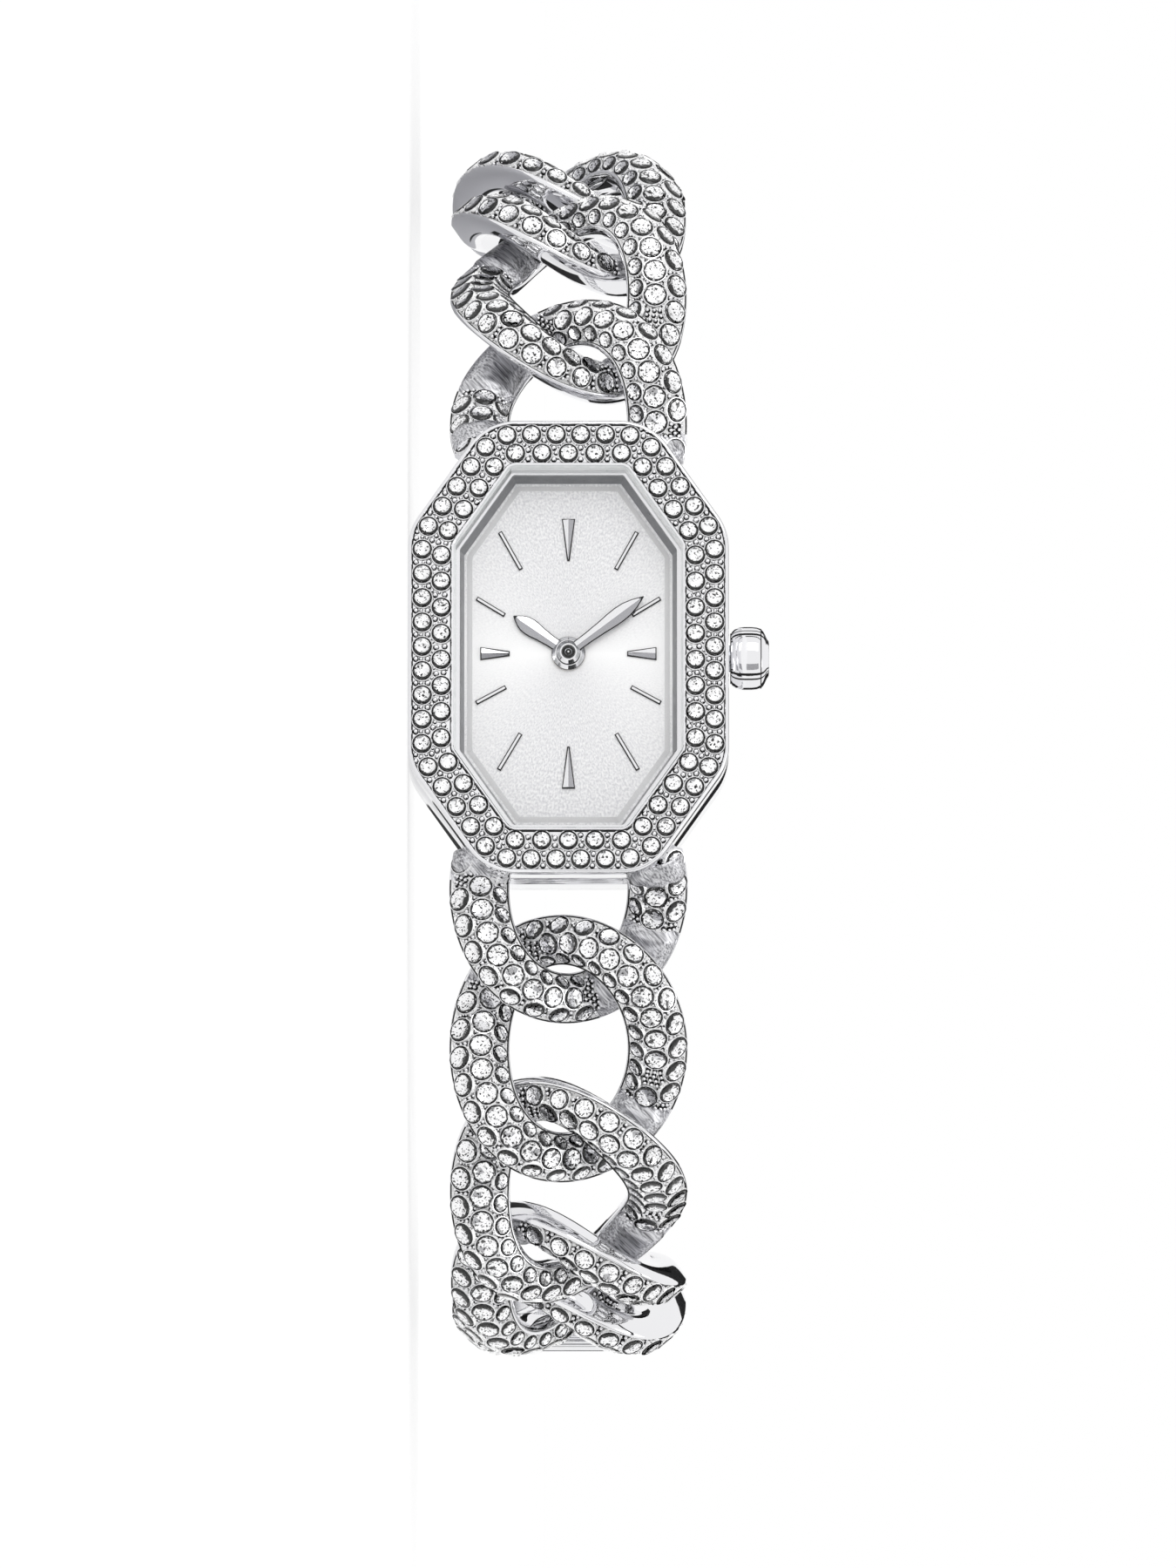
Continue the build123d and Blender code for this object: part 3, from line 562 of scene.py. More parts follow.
def rounded_back():
    """Shares across and up of the back: two slopes and a flat with rounded corners."""
    points = []
    for corners in zip(BACK_CORNERS, BACK_CORNERS[1:], BACK_CORNERS[2:]):
        before, bend, after = (np.array(corner) for corner in corners)
        start, end = bend + (before - bend) * BACK_ROUNDING, bend + (after - bend) * BACK_ROUNDING
        for t in np.linspace(0, 1, BACK_POINTS):
            points.append((1 - t) ** 2 * start + 2 * t * (1 - t) * bend + t**2 * end)
    return np.array(points)


def wire_section():
    """Across shares, up shares and the share by which each point is sunk below the stones."""
    between = list(np.linspace(RIM_OUTER, RIM_INNER, FRONT_POINTS)[1:-1])
    outer_turns = [0.0, RIM_OUTER * 0.5, RIM_OUTER, RIM_OUTER, RIM_OUTER]
    inner_turns = [RIM_INNER, RIM_INNER, RIM_INNER, (RIM_INNER + math.pi) / 2, math.pi]
    sunk = [0, 0, 0, LINE_SHARE, 1] + [1] * len(between) + [1, LINE_SHARE, 0, 0, 0]
    across, up = dome(np.array(outer_turns + between + inner_turns))
    back = rounded_back()
    across = np.concatenate([across, back[:, 0]])
    up = np.concatenate([up, back[:, 1]])
    return across, up, np.array(sunk + [0] * len(back), float)


print("points round the wire", len(wire_section()[0]))

# %% [markdown]
# The skin joins one section to the next all round the ring. Each strip of faces gets its finish from its place in
# the section: rim, painted shade line, ground or back.

# %% The wire's skin
UNDER_ANGLES = (math.radians(133), math.radians(313))
FADE = math.radians(3)
FULLY_PAVED = 1.9


def angle_off(angle, other):
    """How far apart two angles are, the short way round."""
    return np.abs((angle - other + math.pi) % math.tau - math.pi)


def paved_share(angles, reach):
    """1 where the wire carries stones, 0 where it dives below its neighbour."""
    share = np.ones_like(angles)
    for under in UNDER_ANGLES:
        share = np.minimum(share, np.clip((angle_off(angles, under) - reach) / FADE, 0, 1))
    return share


def add_wire(facets, angles, closed, paved):
    """The wire's skin over a row of angles; paved gives the share of sinking at each."""
    across, up, sunk = wire_section()
    count, stations = len(across), len(angles)
    depth = PAVE_DEPTH * paved[:, None] * sunk[None, :]
    grid = wire_points(angles[:, None], across[None, :], up[None, :] + 0 * angles[:, None], depth)
    strips_of = {STEEL: [], BRUSHED: [], SETTING: [], GROOVE: []}
    last_sunk = int(np.flatnonzero(sunk)[-1])
    for i in range(stations if closed else stations - 1):
        j = (i + 1) % stations
        bare = paved[i] + paved[j] < FULLY_PAVED
        for s in range(count):
            t = (s + 1) % count
            # Painted shade: the strips at the foot of each rim are near black.
            if not bare and s in (FIRST_SUNK - 1, last_sunk):
                finish = GROOVE
            elif not FIRST_SUNK <= s < last_sunk:
                finish = STEEL
            else:
                finish = BRUSHED if bare else SETTING
            strips_of[finish].append((i * count + s, j * count + s, j * count + t, i * count + t))
    facets.add(grid, [], STEEL)
    for finish, faces in strips_of.items():
        facets.more(faces, finish, smooth=True)
    if not closed:
        last = (stations - 1) * count
        facets.more([tuple(range(count)), tuple(last + i for i in range(count))[::-1]], STEEL)


print("a link dives below its neighbour at", [round(math.degrees(a)) for a in UNDER_ANGLES], "degrees")

# %% [markdown]
# ## Rows of stones on a curved wire
# A setter lays the middle row first and fits the side rows against it. The same order works in code: each row
# is walked in small steps, and a stone is set as soon as it clears all those that are already there. A row is
# given by its turn round the wire, its stone sizes on the long arms and on the end bars, and the least gap.

# %% Stones in rows
GIRDLE_DEPTH = 0.21
ROWS = ((92.0, 1.24, 1.16, 0.19), (46.0, 1.28, 1.08, 0.12), (138.0, 0.96, 0.80, 0.10))
WALK_STEP = math.radians(0.4)
TANGENT_STEP = 0.01


def dome_places(angles, turns, sink):
    """Places on the front's dome as 3 by 4 arrays: two tangents, the normal, and the point."""
    across, up = dome(turns)
    here = wire_points(angles, across, up)
    ahead = wire_points(angles + TANGENT_STEP, across, up)
    beside = wire_points(angles, *dome(turns + TANGENT_STEP))
    along = unit(ahead - here)
    normal = unit(np.cross(beside - here, along))
    if np.mean(np.sum(normal * (here - wire_axes(angles)[0]), -1)) < 0:
        normal = -normal
    return np.stack([np.cross(along, normal), along, normal, here - normal * sink], -1)


def stone_rows(first, last, allowed):
    """Places and diameters of the stones on the wire between two angles."""
    spots, diameters, centres = [], [], []
    for turn_degrees, arm_size, bar_size, gap in ROWS:
        angles = np.arange(first, last, WALK_STEP)
        turns = np.full_like(angles, math.radians(turn_degrees))
        places = dome_places(angles, turns, GIRDLE_DEPTH)
        sizes = bar_size + (arm_size - bar_size) * np.cos(angles) ** 2
        for angle, place, size in zip(angles, places, sizes):
            centre = place[:, 3]
            if not allowed(angle, centre, size / 2):
                continue
            if centres:
                room = np.linalg.norm(np.array(centres) - centre, axis=1)
                if (room < (np.array(diameters) + size) / 2 + gap).any():
                    continue
            spots.append(place)
            diameters.append(size)
            centres.append(centre)
    return spots, diameters


print("rows of stones on a wire", len(ROWS))

# %% [markdown]
# What is left over between the stones is filled with grains, the roomiest places first. Every candidate place
# gets the largest grain that clears the stones, and a grain is dropped where a larger one already stands.

# %% Grains between the stones
GRAIN_RADIUS = 0.15
LEAST_GRAIN = 0.07
GRAIN_CROWDING = 0.95
NO_STONE_NEAR = 9.0
GRAIN_STEP = math.radians(1.3)
GRAIN_TURNS = np.radians(np.arange(19, 158, 4.0))


def grain_spots(places, stone_centres, stone_sizes, largest=GRAIN_RADIUS):
    """The places for grains and their radii, the roomiest first."""
    points = places[:, :, 3]
    room = np.full(len(points), NO_STONE_NEAR)
    for centre, size in zip(stone_centres, stone_sizes):
        room = np.minimum(room, np.linalg.norm(points - centre, axis=1) - size / 2)
    radii = np.minimum(largest, room - GROOVE_WIDTH)
    chosen = []
    for i in np.argsort(-radii, kind="stable"):
        if radii[i] < LEAST_GRAIN:
            break
        if chosen:
            gaps = np.linalg.norm(points[chosen] - points[i], axis=1)
            if (gaps < GRAIN_CROWDING * (radii[chosen] + radii[i])).any():
                continue
        chosen.append(i)
    return [(places[i], radii[i]) for i in chosen]


def pave_wire(facets, first, last, allowed):
    """Stones, seats and grains over the wire's front; returns how many of each."""
    spots, sizes = stone_rows(first, last, allowed)
    for place, size in zip(spots, sizes):
        set_stone(facets, place, size, PAVE_DEPTH - GIRDLE_DEPTH)
    angles, turns = np.meshgrid(np.arange(first, last, GRAIN_STEP), GRAIN_TURNS, indexing="ij")
    places = dome_places(angles.ravel(), turns.ravel(), GIRDLE_DEPTH)
    keep = [allowed(angle, place[:, 3], GRAIN_RADIUS) for angle, place in zip(angles.ravel(), places)]
    grains = grain_spots(places[np.array(keep)], [place[:, 3] for place in spots], sizes)
    for place, radius in grains:
        set_grain(facets, place, radius, PAVE_DEPTH - GIRDLE_DEPTH)
    return len(spots), len(grains)


def clear_of_neighbour(angle, radius, reach):
    """Whether a stone of this radius stays off the stretch that dives below a neighbour."""
    reach = reach + FADE + radius / HALF_WIDTH
    return all(angle_off(angle, under) > reach for under in UNDER_ANGLES)


print("grains are", 2 * LEAST_GRAIN, "to", 2 * GRAIN_RADIUS, "mm wide")

# %% [markdown]
# ## One link, used fourteen times
# All fourteen free links are the same casting, so they share one mesh, and only their places differ. A link's
# place follows from its two hinges: its centre is midway and its length points along them.

# %% The free links
LINK_STATIONS = 108
LINK_REACH = math.radians(13)
FREE_LINKS = 7
WATCH_X_IN_ROOM = Vector((0, 0, 1))
hinge_at = {joint["name"]: Vector(joint["pos_m"]) for joint in frame["joints"] if "pos_m" in joint}


def link_facets():
    """A whole free link with its stones."""
    facets = Facets()
    angles = (np.arange(LINK_STATIONS) + 0.5) * math.tau / LINK_STATIONS
    add_wire(facets, angles, True, paved_share(angles, LINK_REACH))
    counts = pave_wire(
        facets, 0.0, math.tau, lambda angle, centre, radius: clear_of_neighbour(angle, radius, LINK_REACH)
    )
    print("stones and grains on a link", counts)
    return facets


def chain_place(centre, length_way):
    """A place whose x is the watch's x and whose y runs along the chain."""
    front_way = WATCH_X_IN_ROOM.cross(length_way)
    axes = Matrix((WATCH_X_IN_ROOM, length_way, front_way)).transposed().to_4x4()
    return Matrix.Translation(centre) @ axes


link_mesh = link_facets().mesh("paved_curb_link", STONE_FINISHES)
for chain, way in (("upper", 1), ("lower", -1)):
    for number in range(1, FREE_LINKS + 1):
        here = hinge_at[f"{chain}_hinge_{number}"]
        there = hinge_at[f"{chain}_hinge_{number + 1}"]
        place = chain_place((here + there) / 2, (there - here).normalized() * way)
        node = f"{chain}_link_{number}"
        place_piece(f"{node}_paved", link_mesh, node, place, "polished_steel", node)
print("faces of one link", len(link_mesh.polygons))

# %% [markdown]
# ## The case's outline
# Everything on the head follows one octagon with long slanted sides. A function draws it inwards by any amount
# and rounds its corners, always with the same number of points, so a profile given as inset and height can be
# swept round it by joining ring to ring.

# %% Octagon and profile
CASE_HALF_WIDTH = 9.0
CASE_HALF_LENGTH = 12.9
END_HALF_WIDTH = 4.59
SIDE_HALF_LENGTH = 6.65
CORNER_RADIUS = 3.2
LEAST_CORNER = 0.12
CORNER_POINTS = 12
slant = np.array([SIDE_HALF_LENGTH - CASE_HALF_LENGTH, END_HALF_WIDTH - CASE_HALF_WIDTH])
slant_normal = -slant / np.linalg.norm(slant)
slant_distance = slant_normal @ np.array([END_HALF_WIDTH, CASE_HALF_LENGTH])


def octagon(inset, radius):
    """Points of the outline drawn in by inset, anticlockwise, with rounded corners."""
    half_width, half_length = CASE_HALF_WIDTH - inset, CASE_HALF_LENGTH - inset
    distance = slant_distance - inset
    end_x = (distance - slant_normal[1] * half_length) / slant_normal[0]
    side_y = (distance - slant_normal[0] * half_width) / slant_normal[1]
    upper = [(half_width, side_y), (end_x, half_length)]
    ring = upper + [(-x, y) for x, y in upper[::-1]]
    ring += [(-x, -y) for x, y in ring]
    ring = np.array(ring)
    points = []
    for i, corner in enumerate(ring):
        back = unit(ring[i - 1] - corner)
        ahead = unit(ring[(i + 1) % len(ring)] - corner)
        half_angle = math.acos(np.clip(back @ ahead, -1, 1)) / 2
        centre = corner + unit(back + ahead) * radius / math.sin(half_angle)
        start = math.atan2(*(corner + back * radius / math.tan(half_angle) - centre)[::-1])
        for t in np.linspace(0, math.pi - 2 * half_angle, CORNER_POINTS):
            points.append(centre + radius * np.array([math.cos(start + t), math.sin(start + t)]))
    return np.array(points)


def depth_inside(x, y):
    """How far a point lies inside the sharp octagon; negative outside."""
    x, y = abs(x), abs(y)
    slanted = slant_distance - slant_normal @ np.array([x, y])
    return min(CASE_HALF_WIDTH - x, CASE_HALF_LENGTH - y, slanted)


def sweep_profile(facets, profile, finishes=None):
    """Join rings of (inset, height) into a closed skin; finishes are for single strips."""
    count = 8 * CORNER_POINTS
    rings = [
        np.column_stack([octagon(inset, max(CORNER_RADIUS - inset, LEAST_CORNER)), np.full(count, height)])
        for inset, height in profile
    ]
    facets.add(np.concatenate(rings), [], STEEL)
    for strip in range(len(rings)):
        here, there = strip * count, (strip + 1) % len(rings) * count
        faces = [(here + i, here + (i + 1) % count, there + (i + 1) % count, there + i) for i in range(count)]
        facets.more(faces, (finishes or {}).get(strip, STEEL), smooth=True)


def crease(mesh, degrees):
    """Keep edges sharper than an angle crisp and shade the rest softly."""
    mesh.set_sharp_from_angle(angle=math.radians(degrees))


print("the outline spans", np.round(np.ptp(octagon(0, CORNER_RADIUS), axis=0), 2), "mm")

# %% [markdown]
# ## Case and bezel
# The case middle is a deep polished wall with softened edges: a razor edge would cut the wrist, and the soft one
# catches a highlight. The bezel sits on it and carries a sunk channel between two thin rims, with a line of
# painted shade at the foot of each. A profile is a list of inset and height, read outwards and up from the inner
# foot.

# %% Case middle and bezel
BACK_PLATE = 0.8
CASE_TOP = 5.3
BEZEL_TOP = 7.3
RIM_TOP = 7.2
RIM_WIDTH = 0.22
LIP_INSET = 2.42
LIP_WIDTH = 0.15
LEDGE = 6.07
CASE_WALL = 1.7
BEZEL_BORE = 2.9
EDGE = 0.12
JOINT_GAP = 0.02
BEZEL_GROUND = 6.9
LINE_WIDTH = 0.06
CREASE_ANGLE = 32
CASE_PROFILE = [
    (CASE_WALL, BACK_PLATE + JOINT_GAP),
    (0.62, BACK_PLATE + JOINT_GAP),
    (0.46, BACK_PLATE + 0.06),
    (0.05, BACK_PLATE + 0.42),
    (0.0, BACK_PLATE + 0.6),
    (0.0, CASE_TOP - EDGE),
    (0.03, CASE_TOP - EDGE / 3),
    (EDGE, CASE_TOP - JOINT_GAP),
    (CASE_WALL, CASE_TOP - JOINT_GAP),
]
BEZEL_PROFILE = [
    (CASE_WALL, CASE_TOP),
    (EDGE, CASE_TOP),
    (0.03, CASE_TOP + EDGE / 3),
    (0.0, CASE_TOP + EDGE),
    (0.0, RIM_TOP - 0.22),
    (0.02, RIM_TOP - 0.12),
    (0.07, RIM_TOP - 0.03),
    (0.12, RIM_TOP),
    (0.19, RIM_TOP),
    (RIM_WIDTH, RIM_TOP - 0.04),
    (RIM_WIDTH, BEZEL_GROUND),
    (RIM_WIDTH + LINE_WIDTH, BEZEL_GROUND),
    (LIP_INSET - LINE_WIDTH, BEZEL_GROUND),
    (LIP_INSET, BEZEL_GROUND),
    (LIP_INSET, BEZEL_TOP - 0.05),
    (LIP_INSET + 0.04, BEZEL_TOP),
    (LIP_INSET + LIP_WIDTH - 0.04, BEZEL_TOP),
    (LIP_INSET + LIP_WIDTH, BEZEL_TOP - 0.04),
    (LIP_INSET + LIP_WIDTH, LEDGE),
    (BEZEL_BORE, LEDGE),
    (BEZEL_BORE, CASE_TOP),
]
# Painted shade: the walls of rim and lip that face the channel, and the strips at their feet, are near black.
BEZEL_LINES = (9, 10, 12, 13)
case_facets, bezel_facets = Facets(), Facets()
sweep_profile(case_facets, CASE_PROFILE)
sweep_profile(bezel_facets, BEZEL_PROFILE, dict.fromkeys(BEZEL_LINES, GROOVE))
case_mesh = case_facets.mesh("case_middle_polished", STONE_FINISHES)
crease(case_mesh, CREASE_ANGLE)
place_piece("case_middle_polished", case_mesh, "case", WATCH_TO_ROOM, "polished_steel", "case_middle")
print("case faces", len(case_mesh.polygons), "bezel skin faces", len(bezel_facets.faces))

# %% [markdown]
# ## The bezel's stones
# Two staggered rows of stones stand in the channel. Their centres are read from the CAD node, so the render can't
# drift from the model. A CAD node is one mesh of many separate solids, and points that share a face belong to
# the same solid, so walking from face to face sorts the points into stones.

# %% Centres of the CAD stones


def solid_centres(node):
    """Centre of each separate solid of a CAD node, in the watch's axes."""
    mesh = frame["nodes"][node].data
    keys, owner = {}, []
    for vertex in mesh.vertices:
        key = tuple(round(c / MM, 3) for c in vertex.co)
        owner.append(keys.setdefault(key, len(keys)))
    parent = list(range(len(keys)))

    def root(i):
        while parent[i] != i:
            parent[i] = parent[parent[i]]
            i = parent[i]
        return i

    for polygon in mesh.polygons:
        first = root(owner[polygon.vertices[0]])
        for index in polygon.vertices:
            parent[root(owner[index])] = first
    groups = {}
    for key, i in keys.items():
        groups.setdefault(root(i), []).append((key[2], -key[0], -key[1]))
    return [(np.min(points, axis=0) + np.max(points, axis=0)) / 2 for points in groups.values()]


bezel_stones = solid_centres("bezel_crystals")
print("bezel stones", len(bezel_stones))

# %% [markdown]
# The stones are set level. The grains between them are found as on the links, over a fine grid of places in the
# channel. They are raised from the bezel's own metal, so its skin, the seats, grains and stones are one mesh.

# %% Stones and grains of the bezel
BEZEL_GIRDLE = 7.08
BEZEL_STONE = 1.0
BEZEL_GRAIN = 0.18
BEZEL_GRAIN_REACH = (0.42, 2.24)
GRAIN_SEARCH = np.arange(-13, 13, 0.06)


def flat_place(x, y):
    """A level place at the height of the bezel's girdles."""
    return np.column_stack([np.eye(3), (x, y, BEZEL_GIRDLE)])


for x, y, _ in bezel_stones:
    set_stone(bezel_facets, flat_place(x, y), BEZEL_STONE, BEZEL_GIRDLE - BEZEL_GROUND)
least_depth, most_depth = BEZEL_GRAIN_REACH
spots = [
    flat_place(x, y)
    for x in GRAIN_SEARCH
    for y in GRAIN_SEARCH
    if least_depth < depth_inside(x, y) < most_depth
]
bezel_centres = [np.array([x, y, BEZEL_GIRDLE]) for x, y, _ in bezel_stones]
bezel_grains = grain_spots(np.array(spots), bezel_centres, [BEZEL_STONE] * len(bezel_centres), BEZEL_GRAIN)
for place, radius in bezel_grains:
    set_grain(bezel_facets, place, radius, BEZEL_GIRDLE - BEZEL_GROUND)
bezel_mesh = bezel_facets.mesh("bezel_paved", STONE_FINISHES)
crease(bezel_mesh, CREASE_ANGLE)
place_piece("bezel_paved", bezel_mesh, "case", WATCH_TO_ROOM, "polished_steel", "bezel", "bezel_crystals")
print("grains on the bezel", len(bezel_grains))

# %% [markdown]
# ## Half-links
# The two half-links are cast in one with the case. Each is the same wire as a free link's, cut where it has run
# into the case wall, and its stones stop a little before the wall. The lower one is the upper one turned half
# round, so that both chains leave the case in the same way.

# %% Half-links at the case
FIRST_HINGE_Y, FIRST_HINGE_Z = 17.6, 2.7
HALF_PITCH = 4.5
LUG_SLOPE = math.radians(12.0)
LUG_OVERLAP = math.radians(36)
HALF_LINK_REACH = math.radians(25)
HALF_STATIONS = 84
BARE_MARGIN = 0.1
WALL_FADE = 0.3
WALL_ENTRY = 0.8


def lug_place(side):
    """Where a half-link's centre lies, in the watch's axes."""
    y = side * (FIRST_HINGE_Y - HALF_PITCH * math.cos(LUG_SLOPE))
    z = FIRST_HINGE_Z + HALF_PITCH * math.sin(LUG_SLOPE)
    turn = Matrix.Rotation(-side * LUG_SLOPE, 4, "X")
    if side < 0:
        turn = turn @ Matrix.Rotation(math.pi, 4, "Z")
    return Matrix.Translation((0, y, z)) @ turn


for name, side in (("upper", 1), ("lower", -1)):
    place = lug_place(side)
    turn, origin = np.array(place.to_3x3()), np.array(place.translation)

    def outside_case(angle, centre, radius):
        """Whether a stone stands clear of the wall and of the neighbour."""
        x, y, _ = turn @ centre + origin
        outside = depth_inside(x, y) < -(radius * 0.6 + BARE_MARGIN)
        return outside and clear_of_neighbour(angle, radius, HALF_LINK_REACH)

    angles = np.linspace(-LUG_OVERLAP, math.pi + LUG_OVERLAP, HALF_STATIONS)
    centre = wire_axes(angles)[0] @ turn.T + origin
    outside = np.array([-depth_inside(x, y) for x, y, _ in centre])
    angles, outside = angles[outside > -WALL_ENTRY], outside[outside > -WALL_ENTRY]
    paved = np.minimum(paved_share(angles, HALF_LINK_REACH), np.clip(outside / WALL_FADE, 0, 1))
    facets = Facets()
    add_wire(facets, angles, False, paved)
    print(name, "half-link, stones and grains", pave_wire(facets, angles[0], angles[-1], outside_case))
    mesh = facets.mesh(f"{name}_half_link_paved", STONE_FINISHES)
    node = f"{name}_half_link"
    place.translation *= MM
    place_piece(f"{node}_paved", mesh, "case", WATCH_TO_ROOM @ place, "polished_steel", node)

# %% [markdown]
# ## Room and floor
# Bright metal shows its surroundings, so the surroundings are half of the picture. The room is white, as in the
# photograph. The floor's white comes from its own colour and not from more light on the watch: what the camera,
# a mirror or a glass sees of it is partly a plain white glow, and the rest is white paint that takes the shadow.

# %% Room and floor
WHITE = (1.0, 1.0, 1.0, 1.0)
FLOOR_LEVEL = -9.0 * MM
FLOOR_SIZE = 3.0
SHADOW_SHARE = 0.4
world = bpy.data.worlds.new("white_room")
bpy.context.scene.world = world
world.use_nodes = True
world.node_tree.nodes["Background"].inputs["Color"].default_value = WHITE
world.node_tree.nodes["Background"].inputs["Strength"].default_value = 1.0


def stage_plane(name, centre, half_x, half_y, normal, material):
    """A flat stage piece, centred somewhere and facing a direction."""
    mesh = bpy.data.meshes.new(name)
    corners = [(-half_x, -half_y, 0), (half_x, -half_y, 0), (half_x, half_y, 0), (-half_x, half_y, 0)]
    mesh.from_pydata(corners, [], [(0, 1, 2, 3)])
    mesh.materials.append(material)
    plane = bpy.data.objects.new(name, mesh)
    bpy.context.scene.collection.objects.link(plane)
    facing = Vector(normal).to_track_quat("Z", "Y").to_matrix().to_4x4()
    plane.matrix_world = Matrix.Translation(centre) @ facing
    return plane


floor_paint, tree, shader = new_material("white_floor")
set_surface(shader, Base_Color=WHITE, Roughness=0.9)
glow = add_node(tree, "ShaderNodeEmission", Color=WHITE, Strength=1.0)
rays = add_node(tree, "ShaderNodeLightPath")
seen = rays.outputs["Is Camera Ray"]
for kind in ("Is Glossy Ray", "Is Transmission Ray"):
    seen = add_node(tree, "ShaderNodeMath", {"operation": "MAXIMUM"}, i0=seen, i1=rays.outputs[kind]).outputs[0]
share = add_node(tree, "ShaderNodeMath", {"operation": "MULTIPLY"}, i0=seen, i1=1 - SHADOW_SHARE)
mixed = add_node(tree, "ShaderNodeMixShader", i0=share.outputs[0], i1=shader.outputs[0], i2=glow.outputs[0])
tree.links.new(mixed.outputs[0], tree.nodes["Material Output"].inputs["Surface"])
stage_plane("floor", (0, 0, FLOOR_LEVEL), FLOOR_SIZE, FLOOR_SIZE, (0, 0, 1), floor_paint)
print("floor", 2 * FLOOR_SIZE, "m wide")

# %% [markdown]
# ## Cards and soft boxes
# The dark reflections on bright metal come from black cards outside the picture, a product photographer's way.
# Each card stands where one set of facets mirrors it. Two lie on the floor as painted shade of the floor: a pale
# grey one below the upper chain, so that undersides don't vanish against the white floor, and a black one under
# the watch's back. They are seen in reflections alone, and two soft boxes light the watch.

# %% Cards and soft boxes
ON_FLOOR = FLOOR_LEVEL + 0.05 * MM
ABOVE_CARD = FLOOR_LEVEL + 0.1 * MM
CARD_PAINTS = {"black": "#08080A", "grey": "#A0A0A2", "pale_grey": "#B6B6BA"}
CARDS = (
    ("card_behind_right", (-0.02, 0.30, 0.155), 0.27, 0.08, (0, -1, 0), "black"),
    ("card_behind_top", (-0.208, 0.30, 0.06), 0.08, 0.08, (0, -1, 0), "black"),
    ("card_behind_bottom", (0.17, 0.30, 0.06), 0.077, 0.08, (0, -1, 0), "black"),
    # Painted shade of the floor: the next two cards, seen only in reflections.
    ("shade_card_on_floor", (-0.034, 0.03, ON_FLOOR), 0.02, 0.03, (0, 0, 1), "pale_grey"),
    ("shade_card_under_back", (0.0, 0.02, ABOVE_CARD), 0.022, 0.012, (0, 0, 1), "black"),
    ("card_at_12", (-0.5, -0.10, 0.1), 0.02, 0.3, (1, 0, 0), "black"),
    ("card_at_6", (0.5, -0.16, 0.1), 0.03, 0.3, (-1, 0, 0), "black"),
    ("card_at_3", (0.0, -0.14, 0.5), 0.4, 0.02, (0, 0, -1), "black"),
    ("card_in_front_at_6", (0.385, -0.46, 0.1), 0.12, 0.3, (-0.64, 0.77, 0), "grey"),
)
SOFT_BOXES = (("soft_box_12", (-0.55, -0.75, 0.25), 1.4), ("soft_box_above", (0.25, -0.3, 0.9), 1.2))
SOFT_BOX_SIZE = 0.5
card_paint = {}
for shade, colour in CARD_PAINTS.items():
    card_paint[shade], _, shader = new_material(f"{shade}_card")
    set_surface(shader, Base_Color=linear(colour), Roughness=0.9)
for name, centre, half_x, half_y, normal, shade in CARDS:
    card = stage_plane(name, centre, half_x, half_y, normal, card_paint[shade])
    card.visible_camera = False
    card.visible_diffuse = False
    card.visible_shadow = False
for name, position, watts in SOFT_BOXES:
    lamp = bpy.data.lights.new(name, "AREA")
    lamp.shape = "SQUARE"
    lamp.size = SOFT_BOX_SIZE
    lamp.energy = watts
    lamp_object = bpy.data.objects.new(name, lamp)
    bpy.context.scene.collection.objects.link(lamp_object)
    way = Vector((0, 0.01, 0)) - Vector(position)
    facing = way.to_track_quat("-Z", "Y").to_matrix().to_4x4()
    lamp_object.matrix_world = Matrix.Translation(position) @ facing
print("cards", len(CARDS), "soft boxes", len(SOFT_BOXES))

# %% [markdown]
# ## Markers and hands
# Bars, wedges and leaf hands are stamped from brass, milled to crisp facets and rhodium plated. Each has a narrow
# bevel round its foot, which turns away from the light; it is painted near black as painted shade, and draws the
# dark outline that makes them readable on a silver dial. One function makes them all: an outline, a bevel, and a
# ridge where the piece has two facets.

# %% A stamped piece and a turned ring
BEVEL_WIDTH = 0.06
BEVEL_DROP = 0.05
FULL_RIDGE_HALF = 0.12
POINTED_END = 3
METAL_FINISHES = [rhodium, shaded_rhodium, dark_bevel, hard_steel]
BRIGHT, SHADED, OUTLINE, DARK_STEEL = range(len(METAL_FINISHES))


def turned(points, degrees):
    """Points turned clockwise round the dial's centre, as hours are counted."""
    turn = math.radians(-degrees)
    cos, sin = math.cos(turn), math.sin(turn)
    points = np.asarray(points, float)
    x, y = points[:, 0].copy(), points[:, 1].copy()
    points[:, 0], points[:, 1] = x * cos - y * sin, x * sin + y * cos
    return points


